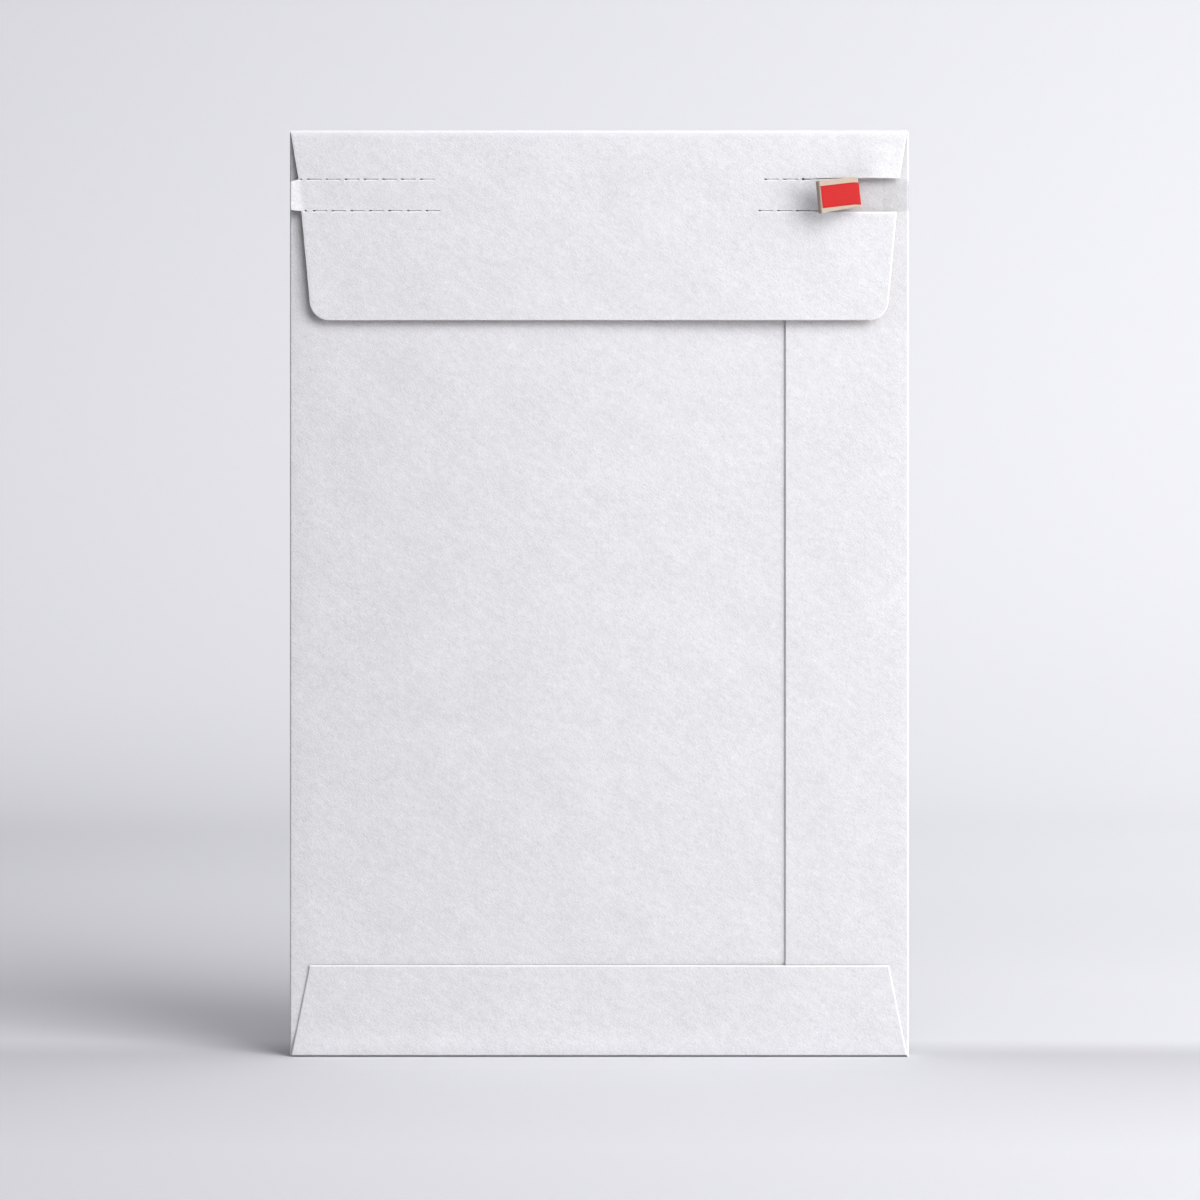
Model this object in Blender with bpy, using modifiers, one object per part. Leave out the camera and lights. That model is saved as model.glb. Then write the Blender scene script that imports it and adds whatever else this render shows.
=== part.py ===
"""Board mailer with a tear strip in its closure flap, standing on its base.

Metres, +Z up. The origin is the centre of the base's flat face. X runs across the face, the seal side
looks along -Y and the address side along +Y. Every panel is drawn closed and flat. The creases that move
are empties, and turning one of them folds what hangs on it.
"""
import math

import bmesh
import bpy
from mathutils import Euler, Quaternion, Vector

# Overall size
WIDTH = 0.254
HEIGHT = 0.380
POCKET = 0.005

# Board and films
BOARD = 0.0005
CREASE_RADIUS = 0.001
TAPE_THICKNESS = 0.00012
GLUE_THICKNESS = 0.0001
ADHESIVE_THICKNESS = 0.00015
LINER_THICKNESS = 0.0001

# Clearances
CREASE_GAP = 0.0003
TEAR_GAP = 0.0001
FILM_GAP = 0.00005
FLAP_STANDOFF = 0.00085

# Back panels and the side seam
SIDE_FLAP_WIDTH = 0.0506
SEAM_LAP = 0.015
MOUTH_DROP = 0.002
SEAM_GLUE_WIDTH = 0.008
SEAM_GLUE_END = 0.006

# Bottom flap
BOTTOM_FLAP_HEIGHT = 0.0382
BOTTOM_FLAP_BASE_INSET = 0.0008
BOTTOM_FLAP_TOP_INSET = 0.0082
BOTTOM_GLUE_HEIGHT = 0.018
BOTTOM_GLUE_LOW = 0.009
BOTTOM_GLUE_INSET = 0.016

# Closure flap: depths run down from the top of the envelope, insets in from its sides
UPPER_CUT_DEPTH = 0.0200
LOWER_CUT_DEPTH = 0.03295
FLAP_DEPTH = 0.0776
FLAP_TOP_INSET = 0.0007
UPPER_CUT_INSET = 0.0041
LOWER_CUT_INSET = 0.0052
FLAP_FOOT_INSET = 0.0094
FLAP_CORNER_RADIUS = 0.0072

# Perforation at each end of the two tear lines, with insets from the sides of the envelope
DASH_LENGTH = 0.0059
DASH_PITCH = 0.00771
DASH_COUNT = 7
DASH_DEPTH = 0.0003
UPPER_DASH_INSET = 0.0073
LOWER_DASH_INSET = 0.0097
NICK_LENGTH = 0.0008
UPPER_NICK_INSET = 0.0044
LOWER_NICK_INSET = 0.0064

# Tear strip along its length, with insets from the sides of the envelope
TAB_END_INSET = 0.0005
TAB_END_HEIGHT = 0.01225
TAB_CORNER_RADIUS = 0.0008
TAB_LIFT = math.radians(12)
STRIP_ROOT_INSET = 0.0140
TORN_INSET = 0.0402
TORN_LENGTH = 0.0202
TORN_LIFT = math.radians(9)
TAIL_LENGTH = 0.0190
TAIL_FOLD = math.radians(153)
FOLD_SKEW = math.radians(4.5)
TIP_LENGTH = 0.0018
TIP_BEND = 0.0006
TIP_FOLD = math.radians(60)
TAPE_WIDTH = 0.0091
TAPE_END_MARGIN = 0.0020

# Seal adhesive and its liner
ADHESIVE_HEIGHT = 0.018
ADHESIVE_INSET = 0.016
ADHESIVE_FOOT = 0.006
LINER_OVERHANG = 0.002

# Smoothness of what is round, and how the meshes are welded and shaded
CREASE_STEPS = 6
CORNER_STEPS = 8
TIP_STEPS = 5
WELD_DISTANCE = 1e-6
FLAT_WITHIN = math.radians(0.5)
SHARP_FROM = math.radians(35)

# Levels in Y, from the address side to the seal side
GLUE_SPACE = GLUE_THICKNESS + 2 * FILM_GAP
BASE_DEPTH = POCKET + 4 * BOARD + 2 * GLUE_SPACE
FRONT_Y = BASE_DEPTH / 2
FRONT_INNER_Y = FRONT_Y - BOARD
LEFT_INNER_Y = FRONT_INNER_Y - POCKET
LEFT_OUTER_Y = LEFT_INNER_Y - BOARD
SIDE_INNER_Y = LEFT_OUTER_Y - GLUE_SPACE
SIDE_OUTER_Y = SIDE_INNER_Y - BOARD
BOTTOM_INNER_Y = SIDE_OUTER_Y - GLUE_SPACE
BOTTOM_OUTER_Y = BOTTOM_INNER_Y - BOARD
FLAP_INNER_Y = SIDE_OUTER_Y - FLAP_STANDOFF
FLAP_OUTER_Y = FLAP_INNER_Y - BOARD

# Places in X and Z
HALF_WIDTH = WIDTH / 2
PANEL_EDGE = CREASE_RADIUS + CREASE_GAP
MOUTH_Z = HEIGHT - MOUTH_DROP
UPPER_CUT_Z = HEIGHT - UPPER_CUT_DEPTH
LOWER_CUT_Z = HEIGHT - LOWER_CUT_DEPTH
FLAP_FOOT_Z = HEIGHT - FLAP_DEPTH
STRIP_TOP_Z = UPPER_CUT_Z - TEAR_GAP / 2
STRIP_LOW_Z = LOWER_CUT_Z + TEAR_GAP / 2
STRIP_MID_Z = (STRIP_TOP_Z + STRIP_LOW_Z) / 2
STRIP_HALF = (STRIP_TOP_Z - STRIP_LOW_Z) / 2
SEAM_X = HALF_WIDTH - SIDE_FLAP_WIDTH
HINGE_GAP = CREASE_GAP / 2
HINGE_Z = HEIGHT - BOARD
UPPER_CUT_X = HALF_WIDTH - UPPER_CUT_INSET
LOWER_CUT_X = HALF_WIDTH - LOWER_CUT_INSET
TAB_CREASE_X = -LOWER_CUT_X
TAB_END_X = TAB_END_INSET - HALF_WIDTH
STRIP_ROOT_X = STRIP_ROOT_INSET - HALF_WIDTH
TORN_X = HALF_WIDTH - TORN_INSET
FOLD_X = TORN_X + TORN_LENGTH


def clear_scene():
    for item in list(bpy.data.objects):
        bpy.data.objects.remove(item, do_unlink=True)


def material(name, colour, roughness):
    mat = bpy.data.materials.new(name)
    mat.use_nodes = True
    shader = mat.node_tree.nodes["Principled BSDF"]
    shader.inputs["Base Color"].default_value = (*colour, 1.0)
    shader.inputs["Roughness"].default_value = roughness
    shader.inputs["Metallic"].default_value = 0.0
    return mat


def rectangle(left, low, right, high):
    return [(left, low), (right, low), (right, high), (left, high)]


def arc(centre, radius, start, end, steps):
    """Points on an arc, with its angles in degrees."""
    points = []
    for step in range(steps + 1):
        angle = math.radians(start + (end - start) * step / steps)
        points.append((centre[0] + radius * math.cos(angle), centre[1] + radius * math.sin(angle)))
    return points


def rounded_corner(before, corner, after, radius, steps):
    """Points that round a corner between two straight edges."""
    corner = Vector(corner)
    towards_before = (Vector(before) - corner).normalized()
    towards_after = (Vector(after) - corner).normalized()
    half_angle = towards_before.angle(towards_after) / 2
    centre = corner + (towards_before + towards_after).normalized() * radius / math.sin(half_angle)
    reach = radius / math.tan(half_angle)
    first = corner + towards_before * reach - centre
    last = corner + towards_after * reach - centre
    sweep = first.angle_signed(last)
    points = []
    for step in range(steps + 1):
        turn = Quaternion((0, 0, 1), -sweep * step / steps).to_matrix().to_2x2()
        points.append(tuple(centre + turn @ first))
    return points


def prism(name, outline, half_length, place, turn, look, parts):
    """A closed outline, filled and extruded both ways, as one welded mesh."""
    curve = bpy.data.curves.new(name, "CURVE")
    curve.dimensions = "2D"
    curve.fill_mode = "BOTH"
    curve.extrude = half_length
    spline = curve.splines.new("POLY")
    spline.points.add(len(outline) - 1)
    for point, (across, up) in zip(spline.points, outline):
        point.co = (across, up, 0, 1)
    spline.use_cyclic_u = True
    drawn = bpy.data.objects.new(name + "_outline", curve)
    bpy.context.scene.collection.objects.link(drawn)
    bpy.context.view_layer.update()
    evaluated = drawn.evaluated_get(bpy.context.evaluated_depsgraph_get())
    mesh = bpy.data.meshes.new_from_object(evaluated)
    bpy.data.objects.remove(drawn, do_unlink=True)
    mesh.name = name
    tidy = bmesh.new()
    tidy.from_mesh(mesh)
    bmesh.ops.remove_doubles(tidy, verts=tidy.verts, dist=WELD_DISTANCE)
    bmesh.ops.dissolve_limit(tidy, angle_limit=FLAT_WITHIN, verts=tidy.verts, edges=tidy.edges)
    bmesh.ops.recalc_face_normals(tidy, faces=tidy.faces)
    tidy.to_mesh(mesh)
    tidy.free()
    piece = bpy.data.objects.new(name, mesh)
    piece.location = place
    piece.rotation_euler = turn
    mesh.materials.clear()
    mesh.materials.append(look)
    mesh.shade_smooth()
    mesh.set_sharp_from_angle(angle=SHARP_FROM)
    parts.objects.link(piece)
    return piece


def panel(name, outline, first_y, second_y, look, parts, pivot=None):
    """A flat sheet whose outline is given in X and Z, between two levels of Y."""
    place = Vector((0, (first_y + second_y) / 2, 0))
    turn = Euler((math.pi / 2, 0, 0))
    piece = prism(name, outline, abs(first_y - second_y) / 2, place, turn, look, parts)
    if pivot is not None:
        hang(piece, pivot, place)
    return piece


def spine_section(depth):
    """Section of a spine with its two rounded creases.

    The web's outer face is at 0 on the first axis, and the spine runs from 0 to -depth on the second.
    """
    inner = CREASE_RADIUS - BOARD
    near = (CREASE_RADIUS, -CREASE_RADIUS)
    far = (CREASE_RADIUS, -depth + CREASE_RADIUS)
    outline = arc(near, CREASE_RADIUS, 90, 180, CREASE_STEPS)
    outline += arc(far, CREASE_RADIUS, 180, 270, CREASE_STEPS)
    outline += arc(far, inner, 270, 180, CREASE_STEPS)
    outline += arc(near, inner, 180, 90, CREASE_STEPS)
    return outline


def crease(name, point, parts, parent=None, axis=(0, 0, 1), angle=0.0):
    """An empty on a crease line that moves. The angle is how far it is turned at rest."""
    empty = bpy.data.objects.new(name, None)
    empty.empty_display_size = 0.01
    empty["flat_point"] = point
    home = Vector(parent["flat_point"]) if parent else Vector((0, 0, 0))
    empty.parent = parent
    empty.location = Vector(point) - home
    empty.rotation_mode = "QUATERNION"
    empty.rotation_quaternion = Quaternion(axis, angle)
    parts.objects.link(empty)
    return empty


def hang(piece, pivot, place):
    """Hangs a piece, drawn closed and flat, on the crease that carries it."""
    piece.parent = pivot
    piece.location = Vector(place) - Vector(pivot["flat_point"])


def mirrored(outline):
    return [(-across, up) for across, up in reversed(outline)]


def make_pouch(looks, parts):
    """The front panel, the two side spines and the back panels, all held by creases and glue."""
    board = looks["board"]
    edge = HALF_WIDTH - PANEL_EDGE
    top = HINGE_Z - HINGE_GAP
    panel("front_panel", rectangle(-edge, PANEL_EDGE, edge, top), FRONT_Y, FRONT_INNER_Y, board, parts)
    half_length = (MOUTH_Z - PANEL_EDGE) / 2
    middle = (MOUTH_Z + PANEL_EDGE) / 2
    left_section = spine_section(FRONT_Y - LEFT_OUTER_Y)
    prism("left_spine", left_section, half_length, (-HALF_WIDTH, FRONT_Y, middle), Euler(), board, parts)
    right_section = mirrored(spine_section(FRONT_Y - SIDE_OUTER_Y))
    prism("right_spine", right_section, half_length, (HALF_WIDTH, FRONT_Y, middle), Euler(), board, parts)
    left_outline = rectangle(-edge, PANEL_EDGE, SEAM_X + SEAM_LAP, MOUTH_Z)
    panel("left_back_panel", left_outline, LEFT_INNER_Y, LEFT_OUTER_Y, board, parts)
    side_outline = rectangle(SEAM_X, PANEL_EDGE, edge, MOUTH_Z)
    panel("side_flap", side_outline, SIDE_INNER_Y, SIDE_OUTER_Y, board, parts)
    glue_left = SEAM_X + (SEAM_LAP - SEAM_GLUE_WIDTH) / 2
    glue_outline = rectangle(
        glue_left, PANEL_EDGE + SEAM_GLUE_END, glue_left + SEAM_GLUE_WIDTH, MOUTH_Z - SEAM_GLUE_END
    )
    panel("side_seam_glue", glue_outline, LEFT_OUTER_Y - FILM_GAP, SIDE_INNER_Y + FILM_GAP, looks["glue"], parts)


def make_base(looks, parts):
    """The base spine that the envelope stands on, the bottom flap and its glue."""
    half_base = HALF_WIDTH - BOTTOM_FLAP_BASE_INSET
    section = [(across, up) for up, across in spine_section(BASE_DEPTH)]
    turn = Euler((math.pi / 2, 0, math.pi / 2))
    prism("base_spine", section, half_base, (0, FRONT_Y, 0), turn, looks["board"], parts)
    half_top = HALF_WIDTH - BOTTOM_FLAP_TOP_INSET
    slope = (half_base - half_top) / BOTTOM_FLAP_HEIGHT
    half_low = half_base - slope * PANEL_EDGE
    outline = [(-half_low, PANEL_EDGE), (half_low, PANEL_EDGE)]
    outline += [(half_top, BOTTOM_FLAP_HEIGHT), (-half_top, BOTTOM_FLAP_HEIGHT)]
    panel("bottom_flap", outline, BOTTOM_INNER_Y, BOTTOM_OUTER_Y, looks["board"], parts)
    end = HALF_WIDTH - BOTTOM_GLUE_INSET
    step = SEAM_X - CREASE_GAP
    outer = BOTTOM_INNER_Y + FILM_GAP
    section = [(-end, outer), (end, outer), (end, SIDE_OUTER_Y - FILM_GAP), (step, SIDE_OUTER_Y - FILM_GAP)]
    section += [(step, LEFT_OUTER_Y - FILM_GAP), (-end, LEFT_OUTER_Y - FILM_GAP)]
    middle = BOTTOM_GLUE_LOW + BOTTOM_GLUE_HEIGHT / 2
    prism("bottom_flap_glue", section, BOTTOM_GLUE_HEIGHT / 2, (0, 0, middle), Euler(), looks["glue"], parts)


def cut_marks(nick_inset, dash_inset):
    """Slots of one tear line up to where it is torn, as pairs of X. The right end mirrors the left."""
    nick = nick_inset - HALF_WIDTH
    marks = [(nick, nick + NICK_LENGTH)]
    for count in range(DASH_COUNT):
        start = dash_inset - HALF_WIDTH + count * DASH_PITCH
        marks.append((start, start + DASH_LENGTH))
    marks += [(-end, -start) for start, end in reversed(marks)]
    return [(start, min(end, TORN_X)) for start, end in marks if start < TORN_X]


def notched_edge(marks, level, depth):
    """Left to right along an edge, stepping in by a depth at each slot."""
    points = []
    for start, end in marks:
        points += [(start, level), (start, level + depth), (end, level + depth), (end, level)]
    return points


def make_closure(looks, parts):
    """The top spine and the closure flap's two bands, on the two creases that open the envelope."""
    rear = crease("rear_crease", (0, FRONT_INNER_Y, HINGE_Z), parts)
    front = crease("front_crease", (0, FLAP_INNER_Y, HINGE_Z), parts, rear)
    half_top = HALF_WIDTH - FLAP_TOP_INSET
    spine_length = FRONT_INNER_Y - FLAP_INNER_Y - 2 * HINGE_GAP
    spine_middle = (FRONT_INNER_Y + FLAP_INNER_Y) / 2
    spine_outline = rectangle(-half_top, -spine_length / 2, half_top, spine_length / 2)
    place = Vector((0, spine_middle, HEIGHT - BOARD / 2))
    spine = prism("top_spine", spine_outline, BOARD / 2, place, Euler(), looks["board"], parts)
    hang(spine, rear, place)

    level = UPPER_CUT_Z + TEAR_GAP / 2
    marks = cut_marks(UPPER_NICK_INSET, UPPER_DASH_INSET)
    outline = [(-UPPER_CUT_X, level)] + notched_edge(marks, level, DASH_DEPTH) + [(UPPER_CUT_X, level)]
    outline += [(half_top, HINGE_Z - HINGE_GAP), (-half_top, HINGE_Z - HINGE_GAP)]
    panel("flap_upper_band", outline, FLAP_INNER_Y, FLAP_OUTER_Y, looks["board"], parts, front)

    foot_edge = HALF_WIDTH - FLAP_FOOT_INSET
    level = LOWER_CUT_Z - TEAR_GAP / 2
    marks = cut_marks(LOWER_NICK_INSET, LOWER_DASH_INSET)
    right_top = (LOWER_CUT_X, level)
    right_foot = (foot_edge, FLAP_FOOT_Z)
    left_foot = (-foot_edge, FLAP_FOOT_Z)
    left_top = (-LOWER_CUT_X, level)
    outline = [left_top] + notched_edge(marks, level, -DASH_DEPTH) + [right_top]
    outline += rounded_corner(right_top, right_foot, left_foot, FLAP_CORNER_RADIUS, CORNER_STEPS)
    outline += rounded_corner(right_foot, left_foot, left_top, FLAP_CORNER_RADIUS, CORNER_STEPS)
    panel("flap_lower_band", outline, FLAP_INNER_Y, FLAP_OUTER_Y, looks["board"], parts, front)
    make_seal(looks, parts, front)
    return front


def make_seal(looks, parts, front):
    """The adhesive along the foot of the flap, and the liner that covers it until it is used."""
    half = HALF_WIDTH - ADHESIVE_INSET
    low = FLAP_FOOT_Z + ADHESIVE_FOOT
    adhesive_y = FLAP_INNER_Y + FILM_GAP
    liner_y = adhesive_y + ADHESIVE_THICKNESS + FILM_GAP
    outline = rectangle(-half, low, half, low + ADHESIVE_HEIGHT)
    panel("seal_adhesive", outline, adhesive_y, adhesive_y + ADHESIVE_THICKNESS, looks["glue"], parts, front)
    half += LINER_OVERHANG
    outline = rectangle(-half, low - LINER_OVERHANG, half, low + ADHESIVE_HEIGHT + LINER_OVERHANG)
    panel("release_liner", outline, liner_y, liner_y + LINER_THICKNESS, looks["liner"], parts, front)


def tape_panel(name, outline, looks, parts, pivot):
    """A stretch of the tear tape, on the inner face of the strip."""
    near = FLAP_INNER_Y + FILM_GAP
    return panel(name, outline, near, near + TAPE_THICKNESS, looks["tape"], parts, pivot)


def beside_fold(distance, up):
    """X of a point at a distance from the fold line, which leans to the left at its top."""
    return FOLD_X + distance - (up - STRIP_MID_Z) * math.tan(FOLD_SKEW)


def make_strip(looks, parts, front):
    """The tear strip's stretches and their tape, from the left tab to where it is torn free."""
    board = looks["board"]
    tape_half = TAPE_WIDTH / 2
    tape_low = STRIP_MID_Z - tape_half
    tape_top = STRIP_MID_Z + tape_half

    tab_point = (TAB_CREASE_X, FLAP_OUTER_Y, STRIP_MID_Z)
    tab_pivot = crease("tab_crease", tab_point, parts, front, angle=TAB_LIFT)
    tab_half = TAB_END_HEIGHT / 2
    root_top = (TAB_CREASE_X - HINGE_GAP, STRIP_TOP_Z)
    root_low = (TAB_CREASE_X - HINGE_GAP, STRIP_LOW_Z)
    end_top = (TAB_END_X, STRIP_MID_Z + tab_half)
    end_low = (TAB_END_X, STRIP_MID_Z - tab_half)
    outline = [root_low, root_top]
    outline += rounded_corner(root_top, end_top, end_low, TAB_CORNER_RADIUS, CORNER_STEPS)
    outline += rounded_corner(end_top, end_low, root_low, TAB_CORNER_RADIUS, CORNER_STEPS)
    panel("tear_strip_left_tab", outline, FLAP_INNER_Y, FLAP_OUTER_Y, board, parts, tab_pivot)

    left = TAB_CREASE_X + HINGE_GAP
    right = STRIP_ROOT_X - HINGE_GAP
    outline = rectangle(left, STRIP_LOW_Z, right, STRIP_TOP_Z)
    panel("tear_strip_left_end", outline, FLAP_INNER_Y, FLAP_OUTER_Y, board, parts, front)
    tape_panel("tear_tape_left_end", rectangle(left, tape_low, right, tape_top), looks, parts, front)

    strip_pivot = crease("strip_root", (STRIP_ROOT_X, FLAP_OUTER_Y, STRIP_MID_Z), parts, front)
    left = STRIP_ROOT_X + HINGE_GAP
    right = TORN_X - HINGE_GAP
    outline = rectangle(left, STRIP_LOW_Z, right, STRIP_TOP_Z)
    panel("tear_strip", outline, FLAP_INNER_Y, FLAP_OUTER_Y, board, parts, strip_pivot)
    tape_panel("tear_tape", rectangle(left, tape_low, right, tape_top), looks, parts, strip_pivot)

    torn_point = (TORN_X, FLAP_OUTER_Y, STRIP_MID_Z)
    torn_pivot = crease("torn_root", torn_point, parts, strip_pivot, angle=-TORN_LIFT)
    outline = torn_outline(STRIP_LOW_Z, STRIP_TOP_Z)
    panel("tear_strip_lifted", outline, FLAP_INNER_Y, FLAP_OUTER_Y, board, parts, torn_pivot)
    tape_panel("tear_tape_lifted", torn_outline(tape_low, tape_top), looks, parts, torn_pivot)
    make_tail(looks, parts, torn_pivot)


def torn_outline(low, top):
    """The stretch from where the strip is torn free to its fold, drawn flat."""
    left = TORN_X + HINGE_GAP
    return [(left, low), (beside_fold(-HINGE_GAP, low), low), (beside_fold(-HINGE_GAP, top), top), (left, top)]


def tail_stops(length):
    """Distances from the fold to a sheet's columns: its flat run, the crease near the tip and the lip."""
    crease_from = TAIL_LENGTH - TIP_LENGTH
    bend = [crease_from + TIP_BEND * step / TIP_STEPS for step in range(TIP_STEPS + 1)]
    return [HINGE_GAP, *[stop for stop in bend if stop < length], length]


def tail_sheet(name, length, half_height, near_y, thickness, look, parts, pivot):
    """A stretch beyond the fold, drawn in line with the strip, with its lip creased to the outer face."""
    stops = tail_stops(length)
    last = len(stops) - 1
    sheet = bmesh.new()
    bmesh.ops.create_grid(sheet, x_segments=last, y_segments=2, size=0.5)
    crease_from = TAIL_LENGTH - TIP_LENGTH
    radius = TIP_BEND / TIP_FOLD
    for vert in sheet.verts:
        along = stops[round((vert.co.x + 0.5) * last)]
        rise = vert.co.y * 2 * half_height
        straight = min(along, crease_from)
        turned = min(max(along - crease_from, 0.0), TIP_BEND) / radius
        lip = max(along - crease_from - TIP_BEND, 0.0)
        reach = straight + radius * math.sin(turned) + lip * math.cos(turned)
        dip = radius * (1 - math.cos(turned)) + lip * math.sin(turned)
        lean = 1 - min(along / crease_from, 1.0)
        across = reach - lean * rise * math.tan(FOLD_SKEW)
        vert.co = (across, near_y - dip, rise)
    bmesh.ops.recalc_face_normals(sheet, faces=sheet.faces)
    mesh = bpy.data.meshes.new(name)
    sheet.to_mesh(mesh)
    sheet.free()
    mesh.materials.append(look)
    piece = bpy.data.objects.new(name, mesh)
    parts.objects.link(piece)
    fold_point = Vector(pivot["flat_point"])
    hang(piece, pivot, (fold_point.x, 0, STRIP_MID_Z))
    solidify = piece.modifiers.new("thickness", "SOLIDIFY")
    solidify.thickness = thickness
    solidify.offset = 0
    mesh.shade_smooth()
    mesh.set_sharp_from_angle(angle=SHARP_FROM)
    return piece


def make_tail(looks, parts, torn_pivot):
    """The end of the strip, folded back over the lifted stretch so that its inner face and tape show."""
    axis = (-math.sin(FOLD_SKEW), 0, math.cos(FOLD_SKEW))
    fold_point = (FOLD_X, FLAP_OUTER_Y, STRIP_MID_Z)
    tail_pivot = crease("tail_fold", fold_point, parts, torn_pivot, axis, -TAIL_FOLD)
    board_y = (FLAP_INNER_Y + FLAP_OUTER_Y) / 2
    tape_y = FLAP_INNER_Y + FILM_GAP + TAPE_THICKNESS / 2
    tail_sheet("tear_strip_tail", TAIL_LENGTH, STRIP_HALF, board_y, BOARD, looks["board"], parts, tail_pivot)
    tape_length = TAIL_LENGTH - TAPE_END_MARGIN
    tape_half = TAPE_WIDTH / 2
    tail_sheet("tear_tape_tail", tape_length, tape_half, tape_y, TAPE_THICKNESS, looks["tape"], parts, tail_pivot)


def main():
    clear_scene()
    parts = bpy.data.collections.new("envelope")
    bpy.context.scene.collection.children.link(parts)
    looks = {
        "board": material("board", (0.80, 0.79, 0.83), 0.85),
        "tape": material("tape", (0.75, 0.04, 0.04), 0.45),
        "glue": material("glue", (0.85, 0.80, 0.62), 0.40),
        "liner": material("liner", (0.78, 0.74, 0.60), 0.35),
    }
    make_pouch(looks, parts)
    make_base(looks, parts)
    front = make_closure(looks, parts)
    make_strip(looks, parts, front)


main()
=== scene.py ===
"""Looks for the board envelope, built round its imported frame.

Metres, +Z up, with the seal side looking along -Y. Every piece of board is drawn as a flat blank
on a grid and then folded, so that one grid gives its two faces, its cut edges and its texture.
"""
import math

import bmesh
import bpy
import numpy as np
from bpy.props import FloatProperty, FloatVectorProperty, PointerProperty
from bpy.types import Operator, Panel, PropertyGroup
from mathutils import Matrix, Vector, noise


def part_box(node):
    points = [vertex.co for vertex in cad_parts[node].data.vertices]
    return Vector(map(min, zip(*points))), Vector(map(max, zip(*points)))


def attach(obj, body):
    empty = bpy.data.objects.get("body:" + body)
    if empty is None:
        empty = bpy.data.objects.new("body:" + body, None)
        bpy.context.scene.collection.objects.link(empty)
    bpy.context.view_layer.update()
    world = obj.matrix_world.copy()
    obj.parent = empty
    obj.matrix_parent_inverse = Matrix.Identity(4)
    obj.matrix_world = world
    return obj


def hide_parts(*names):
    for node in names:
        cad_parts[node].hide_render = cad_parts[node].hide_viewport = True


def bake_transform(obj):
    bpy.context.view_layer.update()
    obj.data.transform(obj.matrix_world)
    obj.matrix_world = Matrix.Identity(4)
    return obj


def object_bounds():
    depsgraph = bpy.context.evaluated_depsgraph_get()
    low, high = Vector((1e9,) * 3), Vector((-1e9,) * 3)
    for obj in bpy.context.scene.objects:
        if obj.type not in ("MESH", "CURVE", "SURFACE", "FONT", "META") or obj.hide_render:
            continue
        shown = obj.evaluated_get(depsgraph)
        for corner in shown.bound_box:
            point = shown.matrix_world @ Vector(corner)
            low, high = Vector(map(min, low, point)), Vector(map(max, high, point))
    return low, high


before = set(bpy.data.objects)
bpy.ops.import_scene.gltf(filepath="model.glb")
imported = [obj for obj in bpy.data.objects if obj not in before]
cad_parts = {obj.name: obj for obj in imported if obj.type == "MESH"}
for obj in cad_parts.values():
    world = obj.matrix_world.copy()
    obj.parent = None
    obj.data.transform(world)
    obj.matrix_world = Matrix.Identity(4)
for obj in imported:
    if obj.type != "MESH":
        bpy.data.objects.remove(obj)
CAD_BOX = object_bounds()

bl_info = {
    "name": "Board Envelope",
    "version": (1, 0, 0),
    "blender": (4, 5, 0),
    "location": "3D View > Sidebar > Envelope",
    "description": "A rigid board envelope with a tear strip, standing on a pale studio floor",
    "category": "Object",
}


def middle_y(node):
    low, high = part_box(node)
    return (low.y + high.y) / 2


# Places taken from the frame
HALF_WIDTH = CAD_BOX[1].x
HEIGHT = CAD_BOX[1].z
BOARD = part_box("front_panel")[1].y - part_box("front_panel")[0].y
HALF_BOARD = BOARD / 2
FRONT_Y = middle_y("front_panel")
LEFT_Y = middle_y("left_back_panel")
SIDE_Y = middle_y("side_flap")
BOTTOM_Y = middle_y("bottom_flap")
FLAP_Y = middle_y("flap_upper_band")
MOUTH_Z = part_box("side_flap")[1].z
SEAM_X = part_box("side_flap")[0].x
LAP_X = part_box("left_back_panel")[1].x
BOTTOM_FLAP_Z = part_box("bottom_flap")[1].z
FLAP_FOOT_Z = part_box("flap_lower_band")[0].z - 0.0005

# Tear lines
UPPER_CUT = 0.35975
LOWER_CUT = 0.34680
STRIP_MID = (UPPER_CUT + LOWER_CUT) / 2
STRIP_HALF = (UPPER_CUT - LOWER_CUT) / 2

# Half widths of the closure flap down its slanting sides
TOP_HALF = 0.1263
UPPER_CUT_HALF = 0.1229
LOWER_CUT_HALF = 0.1218
FOOT_HALF = 0.1176
FOOT_RADIUS = 0.0072
SQUEEZE_FROM = 0.092

# Creases, measured on the middle of the board
CREASE = 0.00050
QUARTER = math.pi / 2
CREASE_LENGTH = CREASE * QUARTER
CORNER_X = HALF_WIDTH - HALF_BOARD - CREASE
CREASE_Z = HEIGHT - HALF_BOARD - CREASE
BASE_Z = HALF_BOARD + CREASE

# Pouch blank: distances run round the envelope from the middle of its address side
SLIT_X = 0.1262
SLIT_END_X = 0.1263
REAR_SEAM_Z = 0.3760
SPINE_FOOT_Z = 0.00012
PANEL_FOOT_Z = 0.0007
BOTTOM_BASE_HALF = 0.1262
BOTTOM_TOP_HALF = 0.1188
BASE_TIP = 0.00052
BOTTOM_TRIM = 0.00068
SPINE_TOP_Z = HEIGHT - 0.0006
BACK_BOW = 0.0013
BACK_BOW_REACH = 0.10

# How the bottom flap is pressed back, most beside the left panel's free edge, and the groove above it
PRESS_LEAST = 0.00004
PRESS_MORE = 0.00072
PRESS_X = 0.030
PRESSED_Z = BOTTOM_FLAP_Z - BOTTOM_TRIM
PRESSED_WIDTH = 0.0036
PRESSED_DEPTH = 0.00032

# Painted highlight along the right corner: distances round it
HIGHLIGHT_FROM = 0.00005
HIGHLIGHT_MIDDLE = 0.0009
HIGHLIGHT_TO = 0.0013

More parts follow.
